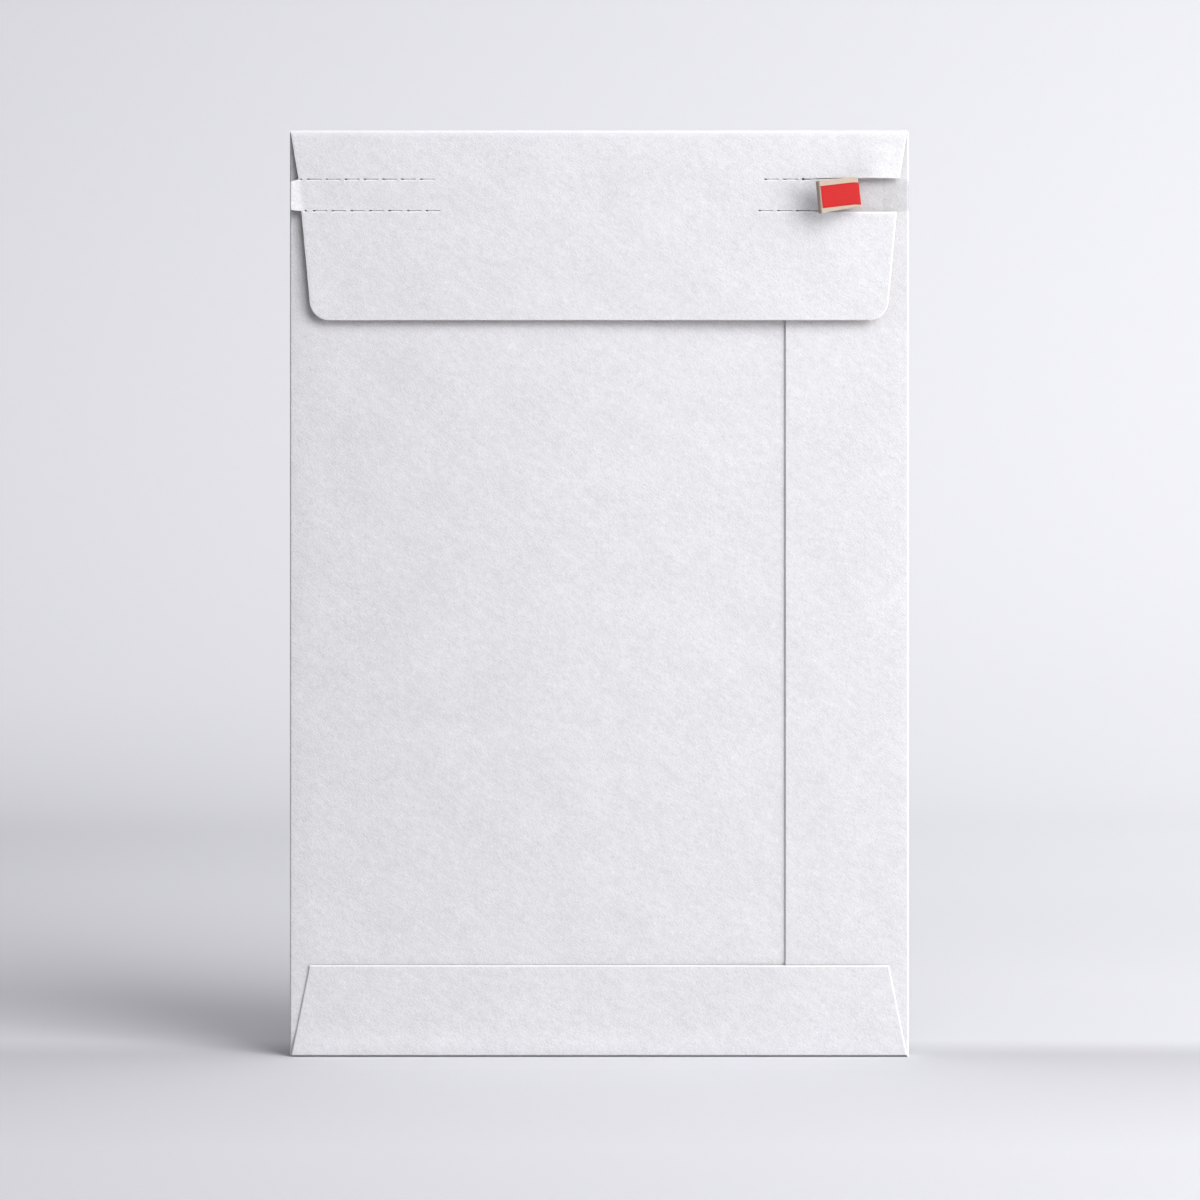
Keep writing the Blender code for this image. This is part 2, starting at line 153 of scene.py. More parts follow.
# Shape that the closure flap has taken: sprung off its crease, settled at the left, pulled by the tear
FLAP_TOP = CREASE_Z - 0.0006
FLAP_SPRING = 0.0015
SPRING_DEPTH = 0.026
FOOT_SPRING = 0.0008
LEFT_SETTLE = 0.40
LEFT_SETTLE_X = 0.060
LEFT_SETTLE_REACH = 0.060
LEFT_SETTLE_DEPTH = 0.030
PULL = 0.0012
PULL_PLACE = (0.1125, 0.3610)
PULL_SPREAD = (0.0060, 0.0080)
DRAW = 0.00045
DRAW_PLACE = (0.0930, 0.3440)
DRAW_SPREAD = (0.0075, 0.0110)
PULL_END = 0.3700
PULL_FADE = 0.0080

# Tear strip, along its length
TAB_SEAM_X = -0.1202
TAB_END_X = -0.1265
TAB_END_HEIGHT = 0.01175
TAB_CORNER = 0.0005
TAIL_CORNER = 0.0003
TAB_LIFT = math.radians(12)
TAB_BEND = 0.0018
TAB_DROOP = 0.085
HELD_SEAM_X = 0.0
PEEL_X = -0.113
TORN_X = 0.0868
LIFT_BEND = 0.0070
TORN_LIFT = math.radians(9)
FOLD_SEAM_X = 0.0970
FOLD_X = 0.10803
FOLD_BEND = 0.00045
FOLD_TURN = math.radians(153)
FOLD_SKEW = math.radians(4.5)
FOLD_SHEAR = 0.045
END_SLANT = 0.055
TAIL_RISE = 0.00040
STRIP_END_X = 0.12569
TIP_X = 0.12389
TIP_BEND = 0.0006
TIP_CURL = math.radians(62)
TIP_SLANT = -0.065
TIP_ROOT = 0.0047
TAPE_HALF = 0.00455
TAPE_END_MARGIN = 0.00188
TAPE = 0.00012
END_RIM = 0.0006
END_DROP = 0.0002
PEEL_HALF = 0.0018
FOLD_SETBACK = 0.00187

# Thicknesses of the glue films and the liner, their gap to the board, and how far the liner lies behind the seal
SEAM_FILM = 0.0001
BOTTOM_FILM = 0.00008
SEAL_FILM = 0.00015
LINER = 0.0001
FILM_GAP = 0.00002
LINER_DEPTH = 0.00019

# Perforation
DASH_LENGTH = 0.0059
DASH_PITCH = 0.00771
DASH_COUNT = 7
NICK_LENGTH = 0.0008
UPPER_NICK = 0.0044
UPPER_DASH = 0.0073
LOWER_NICK = 0.0064
LOWER_DASH = 0.0097
CUT_REACH = 0.00090
CUT_ROWS = (0.0, 0.00006, 0.00014, 0.00025, 0.00040, 0.00060, CUT_REACH)
UPPER_TORN = 0.00034
LOWER_TORN = 0.00045
TORN_FROM = TORN_X + 0.0006
TORN_LINES = [TORN_X, TORN_X + 0.0001]
TORN_OVERLAP = 0.01
# Where the painted highlight on the bands' torn edges begins
UPPER_HIGHLIGHT_X = 0.1055
LOWER_HIGHLIGHT_X = 0.1005
SHORT_SLOT = 0.002
LAST_SLOT = (0.0830, 0.0866)

# Grid columns at the start of a slot, and in turn at its end: close by and further out
SLOT_NEAR = (-0.00008, 0.0, 0.00012)
SLOT_FAR = (-0.0005, -0.00022)

# Grid spacing
RIM_STEPS = (0.0, 0.05, 0.15, 0.35, 0.65, 1.0, 1.2)
BEND_STEPS = 6
CORNER_STEPS = 9
END_STEPS = 6
WIDE = 0.009
FINE = 0.003
BEND_STEP = 0.0015
LIFT_STEP = 0.0025
CLOSE = 0.0002
SHARP_FROM = math.radians(50)

# Places where the closure flap's grid turns finer: at the right, at the left and towards the foot
FINER_X = 0.098
FINE_LEFT_X = -0.11
FINE_Z = 0.330
FLAP_EDGE_X = 0.1225

# Photographed frame: the camera is level and square to the envelope
CAMERA_PLACE = (0.0003, -1.3020, 0.1874)
LENS = 95.0
SENSOR = 36.0


class BoardSettings(PropertyGroup):
    rim_width: FloatProperty(
        name="Rim width", description="Width of the crushed rim along a cut edge", default=0.0010, unit="LENGTH"
    )
    rim_drop: FloatProperty(
        name="Rim drop", description="How far the outer face falls at a cut edge", default=0.0003, unit="LENGTH"
    )
    slot_width: FloatProperty(
        name="Slot width", description="Opening of a perforation slot", default=0.00025, unit="LENGTH"
    )
    outside: FloatVectorProperty(
        name="Outside", description="Colour of the white outer face", default=(0.757, 0.750, 0.773), subtype="COLOR"
    )
    inside: FloatVectorProperty(
        name="Inside", description="Colour of the kraft inner face", default=(0.500, 0.405, 0.325), subtype="COLOR"
    )
    core: FloatVectorProperty(
        name="Core", description="Colour of the cut edges", default=(0.780, 0.720, 0.620), subtype="COLOR"
    )


class StripSettings(PropertyGroup):
    tape: FloatVectorProperty(
        name="Tape", description="Colour of the tear tape", default=(0.500, 0.0125, 0.0125), subtype="COLOR"
    )
    adhesive: FloatVectorProperty(
        name="Adhesive",
        description="Colour of the glue and the seal adhesive",
        default=(0.80, 0.74, 0.55),
        subtype="COLOR",
    )
    liner: FloatVectorProperty(
        name="Liner", description="Colour of the release liner", default=(0.74, 0.70, 0.56), subtype="COLOR"
    )


class StageSettings(PropertyGroup):
    floor: FloatVectorProperty(
        name="Floor",
        description="Colour of the floor and the backdrop",
        default=(0.760, 0.757, 0.800),
        subtype="COLOR",
    )
    bounce: FloatVectorProperty(
        name="Bounce",
        description="Colour of the light that the floor sends back",
        default=(0.55, 0.548, 0.58),
        subtype="COLOR",
    )
    glow: FloatProperty(
        name="Glow", description="How much the backdrop is lightened for the camera", default=0.29, min=0
    )
    key_strength: FloatProperty(
        name="Key light", description="Strength of the broad light from the front right", default=1.665, min=0
    )
    near_power: FloatProperty(
        name="Near light", description="Power of the lamp close by at the right", default=9.2, min=0
    )
    top_power: FloatProperty(
        name="Top light", description="Power of the lamp above the front", default=4.8, min=0
    )
    ambient: FloatProperty(name="Ambient", description="Strength of the light from all round", default=0.14, min=0)


class FoldLine:
    """The middle of the board in one plane: straight runs and rounded bends, one after the other.

    Each run is a length and a turn. The board's outside is on the right of the line as it is followed.
    """

    def __init__(self, start, heading, runs):
        self.runs = []
        point = Vector(start)
        travelled = 0.0
        for length, turn in runs:
            self.runs.append((travelled, point, heading, turn / length))
            point = self.on_run(self.runs[-1], length)[0]
            heading += turn
            travelled += length

    @staticmethod
    def on_run(run, along):
        _start, point, heading, bend = run
        now = heading + bend * along
        if bend:
            step = Vector((math.sin(now) - math.sin(heading), math.cos(heading) - math.cos(now))) / bend
        else:
            step = Vector((math.cos(heading), math.sin(heading))) * along
        return point + step, Vector((math.sin(now), -math.cos(now)))

    def at(self, distance):
        """The point at a distance along the line, and the direction out of the board's outer face."""
        found = self.runs[0]
        for run in self.runs:
            if run[0] <= distance:
                found = run
        return self.on_run(found, distance - found[0])


CREASE_RUN = (CREASE_LENGTH, QUARTER)
SIDE_RUN = CORNER_X - SEAM_X
RIGHT_SPINE_RUN = FRONT_Y - SIDE_Y - 2 * CREASE
LEFT_SPINE_RUN = FRONT_Y - LEFT_Y - 2 * CREASE
FRONT_RUN = 2 * CORNER_X
LEFT_RUN = CORNER_X + LAP_X
WRAP = FoldLine(
    (SEAM_X, SIDE_Y),
    0,
    [
        (SIDE_RUN, 0),
        CREASE_RUN,
        (RIGHT_SPINE_RUN, 0),
        CREASE_RUN,
        (FRONT_RUN, 0),
        CREASE_RUN,
        (LEFT_SPINE_RUN, 0),
        CREASE_RUN,
        (LEFT_RUN, 0),
    ],
)
WRAP_MIDDLE = SIDE_RUN + 2 * CREASE_LENGTH + RIGHT_SPINE_RUN + FRONT_RUN / 2
RIGHT_CORNER = -(CORNER_X + 2 * CREASE_LENGTH + RIGHT_SPINE_RUN)
LEFT_CORNER = CORNER_X + 2 * CREASE_LENGTH + LEFT_SPINE_RUN
RIGHT_END = -WRAP_MIDDLE
LEFT_END = WRAP_MIDDLE - SIDE_RUN - RIGHT_SPINE_RUN + LEFT_SPINE_RUN + LEFT_RUN
BOTTOM_RUN = BOTTOM_FLAP_Z - BASE_Z
BASE_RUN = FRONT_Y - BOTTOM_Y - 2 * CREASE
BASE = FoldLine(
    (BOTTOM_Y, BOTTOM_FLAP_Z), -QUARTER, [(BOTTOM_RUN, 0), CREASE_RUN, (BASE_RUN, 0), CREASE_RUN, (HEIGHT, 0)]
)
BASE_START = BASE_Z - BOTTOM_RUN - 2 * CREASE_LENGTH - BASE_RUN
BOTTOM_CREASE = BASE_START + BOTTOM_RUN
BOTTOM_EDGE = BASE_START + BOTTOM_TRIM
TOP_RUN = FRONT_Y - FLAP_Y - 2 * CREASE
REAR_RUN = CREASE_Z - REAR_SEAM_Z
CLOSURE = FoldLine(
    (FRONT_Y, REAR_SEAM_Z), QUARTER, [(REAR_RUN, 0), CREASE_RUN, (TOP_RUN, 0), CREASE_RUN, (HEIGHT, 0)]
)
CLOSURE_START = CREASE_Z + 2 * CREASE_LENGTH + TOP_RUN + REAR_RUN
SPINE_MIDDLE = CREASE_Z + CREASE_LENGTH + TOP_RUN / 2
FRONT_CREASE_TOP = CREASE_Z + CREASE_LENGTH
REAR_CREASE_TOP = FRONT_CREASE_TOP + TOP_RUN
REAR_CREASE_END = REAR_CREASE_TOP + CREASE_LENGTH

STRIP_START = -HALF_WIDTH
LIFT_START = TORN_X - LIFT_BEND / 2
LIFT_MIDDLE = LIFT_START + LIFT_BEND / 2
LIFT_END = LIFT_START + LIFT_BEND
STRIP = FoldLine((STRIP_START, FLAP_Y), 0, [(LIFT_START - STRIP_START, 0), (LIFT_BEND, -TORN_LIFT), (HALF_WIDTH, 0)])
# Right end of the painted shade in the strip's gap, start of the painted shade in the margin beside the flap, and the
# gap shade's colour
GAP_SHADE_END = RIGHT_CORNER + 0.0011
MARGIN_START = GAP_SHADE_END - 0.0110
GAP_SHADE_COLOUR = (0.50, 0.495, 0.495, 1)
ARC_LENGTH = FOLD_BEND * FOLD_TURN
ARC_START = FOLD_X - FOLD_SETBACK
FOLD = FoldLine((-HALF_WIDTH, 0), 0, [(HALF_WIDTH - FOLD_SETBACK, 0), (ARC_LENGTH, -FOLD_TURN), (HALF_WIDTH, 0)])
TIP = FoldLine((0, 0), 0, [(TIP_X, 0), (TIP_BEND, -TIP_CURL), (HALF_WIDTH, 0)])


def smooth(value):
    """Eases from 0 to 1 as the value goes from 0 to 1."""
    held = min(max(value, 0.0), 1.0)
    return held * held * (3 - 2 * held)


def hill(across, up, middle, spread):
    return math.exp(-(((across - middle[0]) / spread[0]) ** 2 + ((up - middle[1]) / spread[1]) ** 2) / 2)


def spaced(start, stop, step):
    count = max(1, math.ceil(abs(stop - start) / step))
    return [start + (stop - start) * k / count for k in range(count + 1)]


def rim_lines(edge, inward, width):
    return [edge + inward * width * step for step in RIM_STEPS]


def crease_lines(start, stop):
    return spaced(start, stop, CREASE_LENGTH / BEND_STEPS)


def grid_lines(exact, loose=()):
    """Lines of a grid in order: all the exact ones, and the loose ones that aren't close to another."""
    lines = sorted(set(round(value, 9) for value in exact))
    for value in loose:
        if all(abs(value - line) > CLOSE for line in lines):
            lines.append(value)
    return sorted(lines)


def edge_distances(points, edges):
    """Distance of every point from every straight edge."""
    starts, ends = edges[:, :2], edges[:, 2:4]
    runs = ends - starts
    offsets = points[:, None, :] - starts
    share = np.clip((offsets * runs).sum(2) / (runs * runs).sum(1), 0, 1)
    return np.linalg.norm(offsets - share[:, :, None] * runs, axis=2)


def board_levels(edges, highlight_at=None):
    """Heights of the board's two faces, and how strong a painted highlight shows on them.

    Towards each edge the faces fall by its own width, drop and raised burr.
    """
    listed = np.array(edges, float).reshape(-1, 8)

    def levels(points):
        width, drop, burr, white = listed[:, 4:].T
        distance = edge_distances(points, listed)
        near = np.clip(1 - distance / width, 0, 1)
        fall = drop * (1 - np.sqrt(1 - near * near))
        raised = burr * 4 * near * (1 - near)
        outer = HALF_BOARD - fall.max(1) + raised.max(1)
        near_inside = np.clip(1 - distance / (0.35 * width), 0, 1)
        rise = 0.4 * drop * (1 - np.sqrt(1 - near_inside * near_inside))
        # Painted highlight: near edges that are given one, and wherever the given function of place adds one
        painted_highlight = (white * np.clip(near * 3 - 1, 0, 1)).max(1)
        if highlight_at:
            painted_highlight = np.maximum(painted_highlight, [highlight_at(across, up) for across, up in points])
        return outer, rise.max(1) - HALF_BOARD, painted_highlight

    return levels


def film_levels(outer, inner):
    def levels(points):
        flat = np.zeros(len(points))
        return flat + outer, flat + inner, flat

    return levels


def rim_edge(first, second, width, drop, burr=0.0, white=0.0):
    """A cut edge: the width and drop of its crushed rim, the burr left on it, and how white its painted highlight
    shows.
    """
    return (*first, *second, width, drop, burr, white)


def folded_sheet(name, columns, rows, kept, warp, levels, place, looks):
    """A closed piece of sheet, drawn on a grid of its flat blank and then folded.

    kept says which of the grid's cells are sheet, warp moves a corner of the grid to its place on the
    blank, levels gives the heights of the two faces there, and place folds the blank.
    """
    corners = {}
    cells = set()
    for i in range(len(columns) - 1):
        for j in range(len(rows) - 1):
            if kept((columns[i] + columns[i + 1]) / 2, (rows[j] + rows[j + 1]) / 2):
                cells.add((i, j))
                for corner in ((i, j), (i + 1, j), (i + 1, j + 1), (i, j + 1)):
                    corners.setdefault(corner, len(corners))
    blank = [warp(columns[i], rows[j]) for i, j in corners]
    outer, inner, rim = levels(np.array(blank))
    built = bmesh.new()
    flat_map = built.loops.layers.uv.new("Blank")
    # The rim attribute carries the strength of the painted highlight
    highlight_layer = built.verts.layers.float.new("rim")
    flat_place = {}
    faces = []
    for heights in (outer, inner):
        side = []
        for (across, up), height, near in zip(blank, heights, rim):
            vert = built.verts.new(place(across, up, height))
            vert[highlight_layer] = near
            flat_place[vert] = (across, up)
            side.append(vert)
        faces.append(side)
    for i, j in sorted(cells):
        ring = [corners[c] for c in ((i, j), (i + 1, j), (i + 1, j + 1), (i, j + 1))]
        built.faces.new([faces[0][k] for k in ring]).material_index = 0
        built.faces.new([faces[1][k] for k in reversed(ring)]).material_index = 1
        beside = ((i, j - 1), (i + 1, j), (i, j + 1), (i - 1, j))
        for side, neighbour in enumerate(beside):
            if neighbour not in cells:
                first, second = ring[side], ring[(side + 1) % 4]
                wall = [faces[1][first], faces[1][second], faces[0][second], faces[0][first]]
                built.faces.new(wall).material_index = 2
    for face in built.faces:
        face.smooth = True
        for loop in face.loops:
            loop[flat_map].uv = flat_place[loop.vert]
    bmesh.ops.recalc_face_normals(built, faces=built.faces)
    mesh = bpy.data.meshes.new(name)
    built.to_mesh(mesh)
    built.free()
    for look in looks:
        mesh.materials.append(look)
    mesh.set_sharp_from_angle(angle=SHARP_FROM)
    piece = bpy.data.objects.new(name, mesh)
    bpy.context.scene.collection.objects.link(piece)
    return piece


def node(tree, kind, inputs=None, **settings):
    """Adds a shader node. An input is given a value, or another node's output to link."""
    made = tree.nodes.new(kind)
    for setting, value in settings.items():
        setattr(made, setting, value)
    for socket, value in (inputs or {}).items():
        if isinstance(value, bpy.types.NodeSocket):
            tree.links.new(value, made.inputs[socket])
        else:
            made.inputs[socket].default_value = value
    return made


def flat_vector(tree, angle, length, width):
    """Place on the flat blank, counted in spots of a given length, along an angle, and width."""
    blank = node(tree, "ShaderNodeUVMap", uv_map="Blank")
    turned = node(
        tree,
        "ShaderNodeMapping",
        {"Vector": blank.outputs["UV"], "Rotation": (0, 0, angle), "Scale": (length, width, 1)},
        vector_type="TEXTURE",
    )
    return turned.outputs["Vector"]


def flat_noise(tree, angle, length, width, detail, rough):
    """Noise on the flat blank, drawn out along an angle."""
    inputs = {"Vector": flat_vector(tree, angle, length, width), "Scale": 1.0, "Detail": detail, "Roughness": rough}
    return node(tree, "ShaderNodeTexNoise", inputs).outputs["Fac"]


def blank_axes(tree):
    return node(tree, "ShaderNodeSeparateXYZ", {0: node(tree, "ShaderNodeUVMap", uv_map="Blank").outputs["UV"]})


def maths(tree, operation, *values):
    return node(tree, "ShaderNodeMath", dict(enumerate(values)), operation=operation).outputs[0]


def product(tree, first, *factors):
    for factor in factors:
        first = maths(tree, "MULTIPLY", first, factor)
    return first


def value_range(tree, value, low, high, new_low, new_high):
    inputs = {"Value": value, "From Min": low, "From Max": high, "To Min": new_low, "To Max": new_high}
    return node(tree, "ShaderNodeMapRange", inputs).outputs["Result"]


def mixed(tree, factor, first, second, blend="MIX"):
    made = node(tree, "ShaderNodeMix", data_type="RGBA", blend_type=blend)
    for socket, value in ((made.inputs[0], factor), (made.inputs[6], first), (made.inputs[7], second)):
        if isinstance(value, bpy.types.NodeSocket):
            tree.links.new(value, socket)
        else:
            socket.default_value = value
    return made.outputs[2]


def group(name, inputs, outputs):
    """An empty node group with named float and colour sockets, and its input and output nodes."""
    tree = bpy.data.node_groups.new(name, "ShaderNodeTree")
    for socket, kind, default in inputs:
        made = tree.interface.new_socket(socket, in_out="INPUT", socket_type=kind)
        made.default_value = default
    for socket, kind in outputs:
        tree.interface.new_socket(socket, in_out="OUTPUT", socket_type=kind)
    return tree, tree.nodes.new("NodeGroupInput"), tree.nodes.new("NodeGroupOutput")


# Layers of the fibre texture: strength socket, angle, spot length and width, detail and roughness
FIBRE_LAYERS = (
    ("Fibre", -52, 0.0018, 0.00042, 3.0, 0.6),
    ("Mottle", -40, 0.0050, 0.0032, 3.0, 0.6),
    ("Cloud", -35, 0.0260, 0.0170, 2.0, 0.5),
    ("Grain", -60, 0.00055, 0.00034, 2.0, 0.6),
)
GRAIN_HEIGHT = 0.35
MOTTLE_HEIGHT = 1.5
SPECK_CORE = 0.4
BUMP_DEPTH = 0.0001


def fibre_group():
    """Short pressed fibres, a soft mottle and a fine grain: a shade about 1, and a height."""
    found = bpy.data.node_groups.get("Board fibre")
    if found:
        return found
    number = "NodeSocketFloat"
    inputs = [(layer[0], number, 0.04) for layer in FIBRE_LAYERS]
    tree, given, result = group("Board fibre", inputs, [("Shade", number), ("Height", number)])
    total = 1.0
    textures = {}
    for strength, angle, *texture in FIBRE_LAYERS:
        textures[strength] = flat_noise(tree, math.radians(angle), *texture)
        centred = maths(tree, "SUBTRACT", textures[strength], 0.5)
        total = maths(tree, "MULTIPLY_ADD", centred, given.outputs[strength], total)
    tree.links.new(total, result.inputs["Shade"])
    height = maths(tree, "MULTIPLY_ADD", textures["Grain"], GRAIN_HEIGHT, textures["Fibre"])
    height = maths(tree, "MULTIPLY_ADD", textures["Mottle"], MOTTLE_HEIGHT, height)
    tree.links.new(height, result.inputs["Height"])
    return tree


def speck_group():
    """A mask of sparse small specks."""
    found = bpy.data.node_groups.get("Specks")
    if found:
        return found
    number = "NodeSocketFloat"
    inputs = [("Scale", number, 260.0), ("Size", number, 0.05), ("Share", number, 0.08)]
    tree, given, result = group("Specks", inputs, [("Mask", number)])
    inputs = {"Vector": flat_vector(tree, 0, 1, 1), "Scale": given.outputs["Scale"]}
    cells = node(tree, "ShaderNodeTexVoronoi", inputs)
    size = given.outputs["Size"]
    spot = value_range(tree, cells.outputs["Distance"], maths(tree, "MULTIPLY", size, SPECK_CORE), size, 1.0, 0.0)
    picked = node(tree, "ShaderNodeSeparateColor", {"Color": cells.outputs["Color"]})
    chosen = maths(tree, "LESS_THAN", picked.outputs[0], given.outputs["Share"])
    tree.links.new(product(tree, spot, chosen, picked.outputs[1]), result.inputs["Mask"])
    return tree


def start_look(name):
    """A new material, its tree and its shader."""
    made = bpy.data.materials.new(name)
    made.use_nodes = True
    return made, made.node_tree, made.node_tree.nodes["Principled BSDF"]


def grouped(tree, group_tree, **inputs):
    made = node(tree, "ShaderNodeGroup", node_tree=group_tree)
    for socket, value in inputs.items():
        made.inputs[socket].default_value = value
    return made


def shaded(tree, colour, shade):
    """A colour times a shade about 1."""
    grey = node(tree, "ShaderNodeCombineXYZ", {0: shade, 1: shade, 2: shade}).outputs[0]
    return mixed(tree, 1.0, (*colour, 1), grey, "MULTIPLY")


def bumped(tree, shader, height, strength):
    relief = node(tree, "ShaderNodeBump", {"Height": height, "Strength": strength, "Distance": BUMP_DEPTH})
    tree.links.new(relief.outputs["Normal"], shader.inputs["Normal"])


def fibre_look(name, colour, strengths, speck_colour, specks, bump, roughness, painted_highlight=None, shade_marks=None):
    """Board or paper with fibres, specks and a fine bump, painted shade marks where given, and a painted highlight
    whiter along some edges.
    """
    found = bpy.data.materials.get(name)
    if found:
        return found
    made, tree, shader = start_look(name)
    fibre = grouped(tree, fibre_group(), **strengths)
    body = shaded(tree, colour, fibre.outputs["Shade"])
    for scale, size, share in specks:
        mask = grouped(tree, speck_group(), Scale=scale, Size=size, Share=share)
        body = mixed(tree, mask.outputs["Mask"], body, (*speck_colour, 1))
    if shade_marks:
        body = shade_marks(tree, body)
    if painted_highlight:
        # Painted highlight: the rim attribute mixes in a near-white colour
        rim = node(tree, "ShaderNodeAttribute", attribute_name="rim").outputs["Fac"]
        body = mixed(tree, rim, body, (*painted_highlight, 1))
    tree.links.new(body, shader.inputs["Base Color"])
    bumped(tree, shader, fibre.outputs["Height"], bump)
    shader.inputs["Roughness"].default_value = roughness
    shader.inputs["Specular IOR Level"].default_value = 0.3
    return made


def painted_shade_marks(tree, body):
    """Painted shade on the side flap: in the gap where the strip is torn away, darkest near the folded tail, and in
    the margin right of the flap's slanting side.
    """
    blank = blank_axes(tree)
    across, up = blank.outputs["X"], blank.outputs["Y"]
    # Painted shade in the gap left by the torn strip, darker towards the tail
    low = value_range(tree, up, LOWER_CUT - 0.0005, LOWER_CUT + 0.0002, 0.0, 1.0)
    high = value_range(tree, up, UPPER_CUT - 0.0001, UPPER_CUT + 0.0005, 1.0, 0.0)
    edge = value_range(tree, across, GAP_SHADE_END - 0.0004, GAP_SHADE_END + 0.0002, 1.0, 0.0)
    fade = value_range(tree, across, GAP_SHADE_END - 0.026, GAP_SHADE_END - 0.0010, 0.52, 0.26)
    corner = value_range(tree, across, GAP_SHADE_END - 0.0009, GAP_SHADE_END - 0.0006, 1.0, 4.0)
    body = mixed(tree, product(tree, low, high, edge, fade, corner), body, GAP_SHADE_COLOUR, "MULTIPLY")
    # Painted shade in the margin right of the flap, darker towards the top
    beside = value_range(tree, across, MARGIN_START - 0.0002, MARGIN_START + 0.0002, 0.0, 1.0)
    below = value_range(tree, up, FLAP_FOOT_Z - 0.004, FLAP_FOOT_Z + 0.001, 0.0, 1.0)
    margin_shade = value_range(tree, up, UPPER_CUT, SPINE_TOP_Z, 0.06, 0.20)
    ending = value_range(tree, across, GAP_SHADE_END - 0.0011, GAP_SHADE_END - 0.0009, 1.0, 0.0)
    return mixed(tree, product(tree, beside, below, margin_shade, ending), body, (0.0, 0.0, 0.0, 1))


def outside_look(board):
    specks = [(170.0, 0.05, 0.10), (420.0, 0.10, 0.05)]
    strengths = {"Fibre": 0.46, "Mottle": 0.22, "Cloud": 0.12, "Grain": 0.60}
    # Near-white colour of the painted highlight along edges
    white = (0.93, 0.925, 0.95)
    return fibre_look(
        "board_white", board.outside, strengths, (0.42, 0.40, 0.40), specks, 0.7, 0.85, white, painted_shade_marks
    )


def inside_look(board):
    specks = [(300.0, 0.12, 0.25), (700.0, 0.18, 0.20)]
    strengths = {"Fibre": 0.22, "Mottle": 0.16, "Cloud": 0.06, "Grain": 0.16}
    return fibre_look("board_kraft", board.inside, strengths, (0.30, 0.22, 0.15), specks, 0.4, 0.9)


def core_look(board):
    specks = [(500.0, 0.15, 0.2)]
    strengths = {"Fibre": 0.06, "Mottle": 0.08, "Cloud": 0.0, "Grain": 0.12}
    return fibre_look("board_core", board.core, strengths, (0.5, 0.42, 0.33), specks, 0.4, 0.95)


def board_looks(context):
    board = context.scene.envelope_board
    return [outside_look(board), inside_look(board), core_look(board)]


def tape_look(strip):
    """Red film with faint drawn lines along it and slightly darker borders."""
    found = bpy.data.materials.get("tear_tape_red")
    if found:
        return found
    made, tree, shader = start_look("tear_tape_red")
    drawn = flat_noise(tree, 0, 0.009, 0.0006, 3.0, 0.6)
    shade = value_range(tree, drawn, 0.3, 0.7, 0.94, 1.06)
    away = maths(tree, "ABSOLUTE", maths(tree, "SUBTRACT", blank_axes(tree).outputs["Y"], STRIP_MID))
    border = value_range(tree, away, TAPE_HALF - 0.0008, TAPE_HALF - 0.0003, 1.0, 0.86)
    tree.links.new(shaded(tree, strip.tape, product(tree, shade, border)), shader.inputs["Base Color"])
    tree.links.new(value_range(tree, drawn, 0.3, 0.7, 0.42, 0.56), shader.inputs["Roughness"])
    bumped(tree, shader, drawn, 0.08)
    shader.inputs["Specular IOR Level"].default_value = 0.12
    return made


def adhesive_look(strip):
    """Dried adhesive with a slightly rippled gloss."""
    found = bpy.data.materials.get("adhesive_film")
    if found:
        return found
    made, tree, shader = start_look("adhesive_film")
    ripple = flat_noise(tree, 0, 0.0035, 0.0012, 4.0, 0.55)
    shade = value_range(tree, ripple, 0.25, 0.75, 0.92, 1.06)
    tree.links.new(shaded(tree, strip.adhesive, shade), shader.inputs["Base Color"])
    bumped(tree, shader, ripple, 0.35)
    shader.inputs["Roughness"].default_value = 0.32
    return made


def liner_look(strip):
    specks = [(600.0, 0.12, 0.1)]
    strengths = {"Fibre": 0.05, "Mottle": 0.05, "Cloud": 0.04, "Grain": 0.04}
    return fibre_look("liner_paper", strip.liner, strengths, (0.6, 0.56, 0.42), specks, 0.06, 0.38)


# Pouch


def pouch_foot(across):
    """Lowest edge of the wrap outside the base's own width, at a distance round it."""
    return PANEL_FOOT_Z if across > LEFT_CORNER or across < RIGHT_CORNER else SPINE_FOOT_Z


def pouch_top(across):
    """Highest edge of the wrap: the spines reach higher than the panels."""
    return SPINE_TOP_Z if RIGHT_CORNER < across < LEFT_CORNER else MOUTH_Z


def bottom_half(up):
    """Half the width of the bottom flap at a height on the blank."""
    share = (BOTTOM_CREASE - up) / (BOTTOM_RUN - BOTTOM_TRIM)
    return BOTTOM_BASE_HALF + (BOTTOM_TOP_HALF - BOTTOM_BASE_HALF) * min(max(share, 0.0), 1.0)


def bottom_settle(across, height):
    """How far the bottom flap is pressed back onto the panels behind it."""
    deep = PRESS_MORE * (1 - smooth((across - PRESS_X) / (SEAM_X - PRESS_X)))
    return (deep + PRESS_LEAST) * smooth((height - 0.002) / 0.010)


def back_bow(across, up):
    """How far the left back panel stands out between its creases."""
    side = smooth((across + CORNER_X) / 0.075 * 0.5 + 0.5) * 2 - 1
    side = min(side, 1.0) * smooth((SEAM_X - 0.004 - across) / BACK_BOW_REACH)
    ends = smooth((up - BOTTOM_FLAP_Z - 0.002) / BACK_BOW_REACH) * smooth((MOUTH_Z - up) / BACK_BOW_REACH)
    return BACK_BOW * side * ends


def on_base(across, up):
    return abs(across) <= SLIT_X + CLOSE / 4 and up < BASE_Z


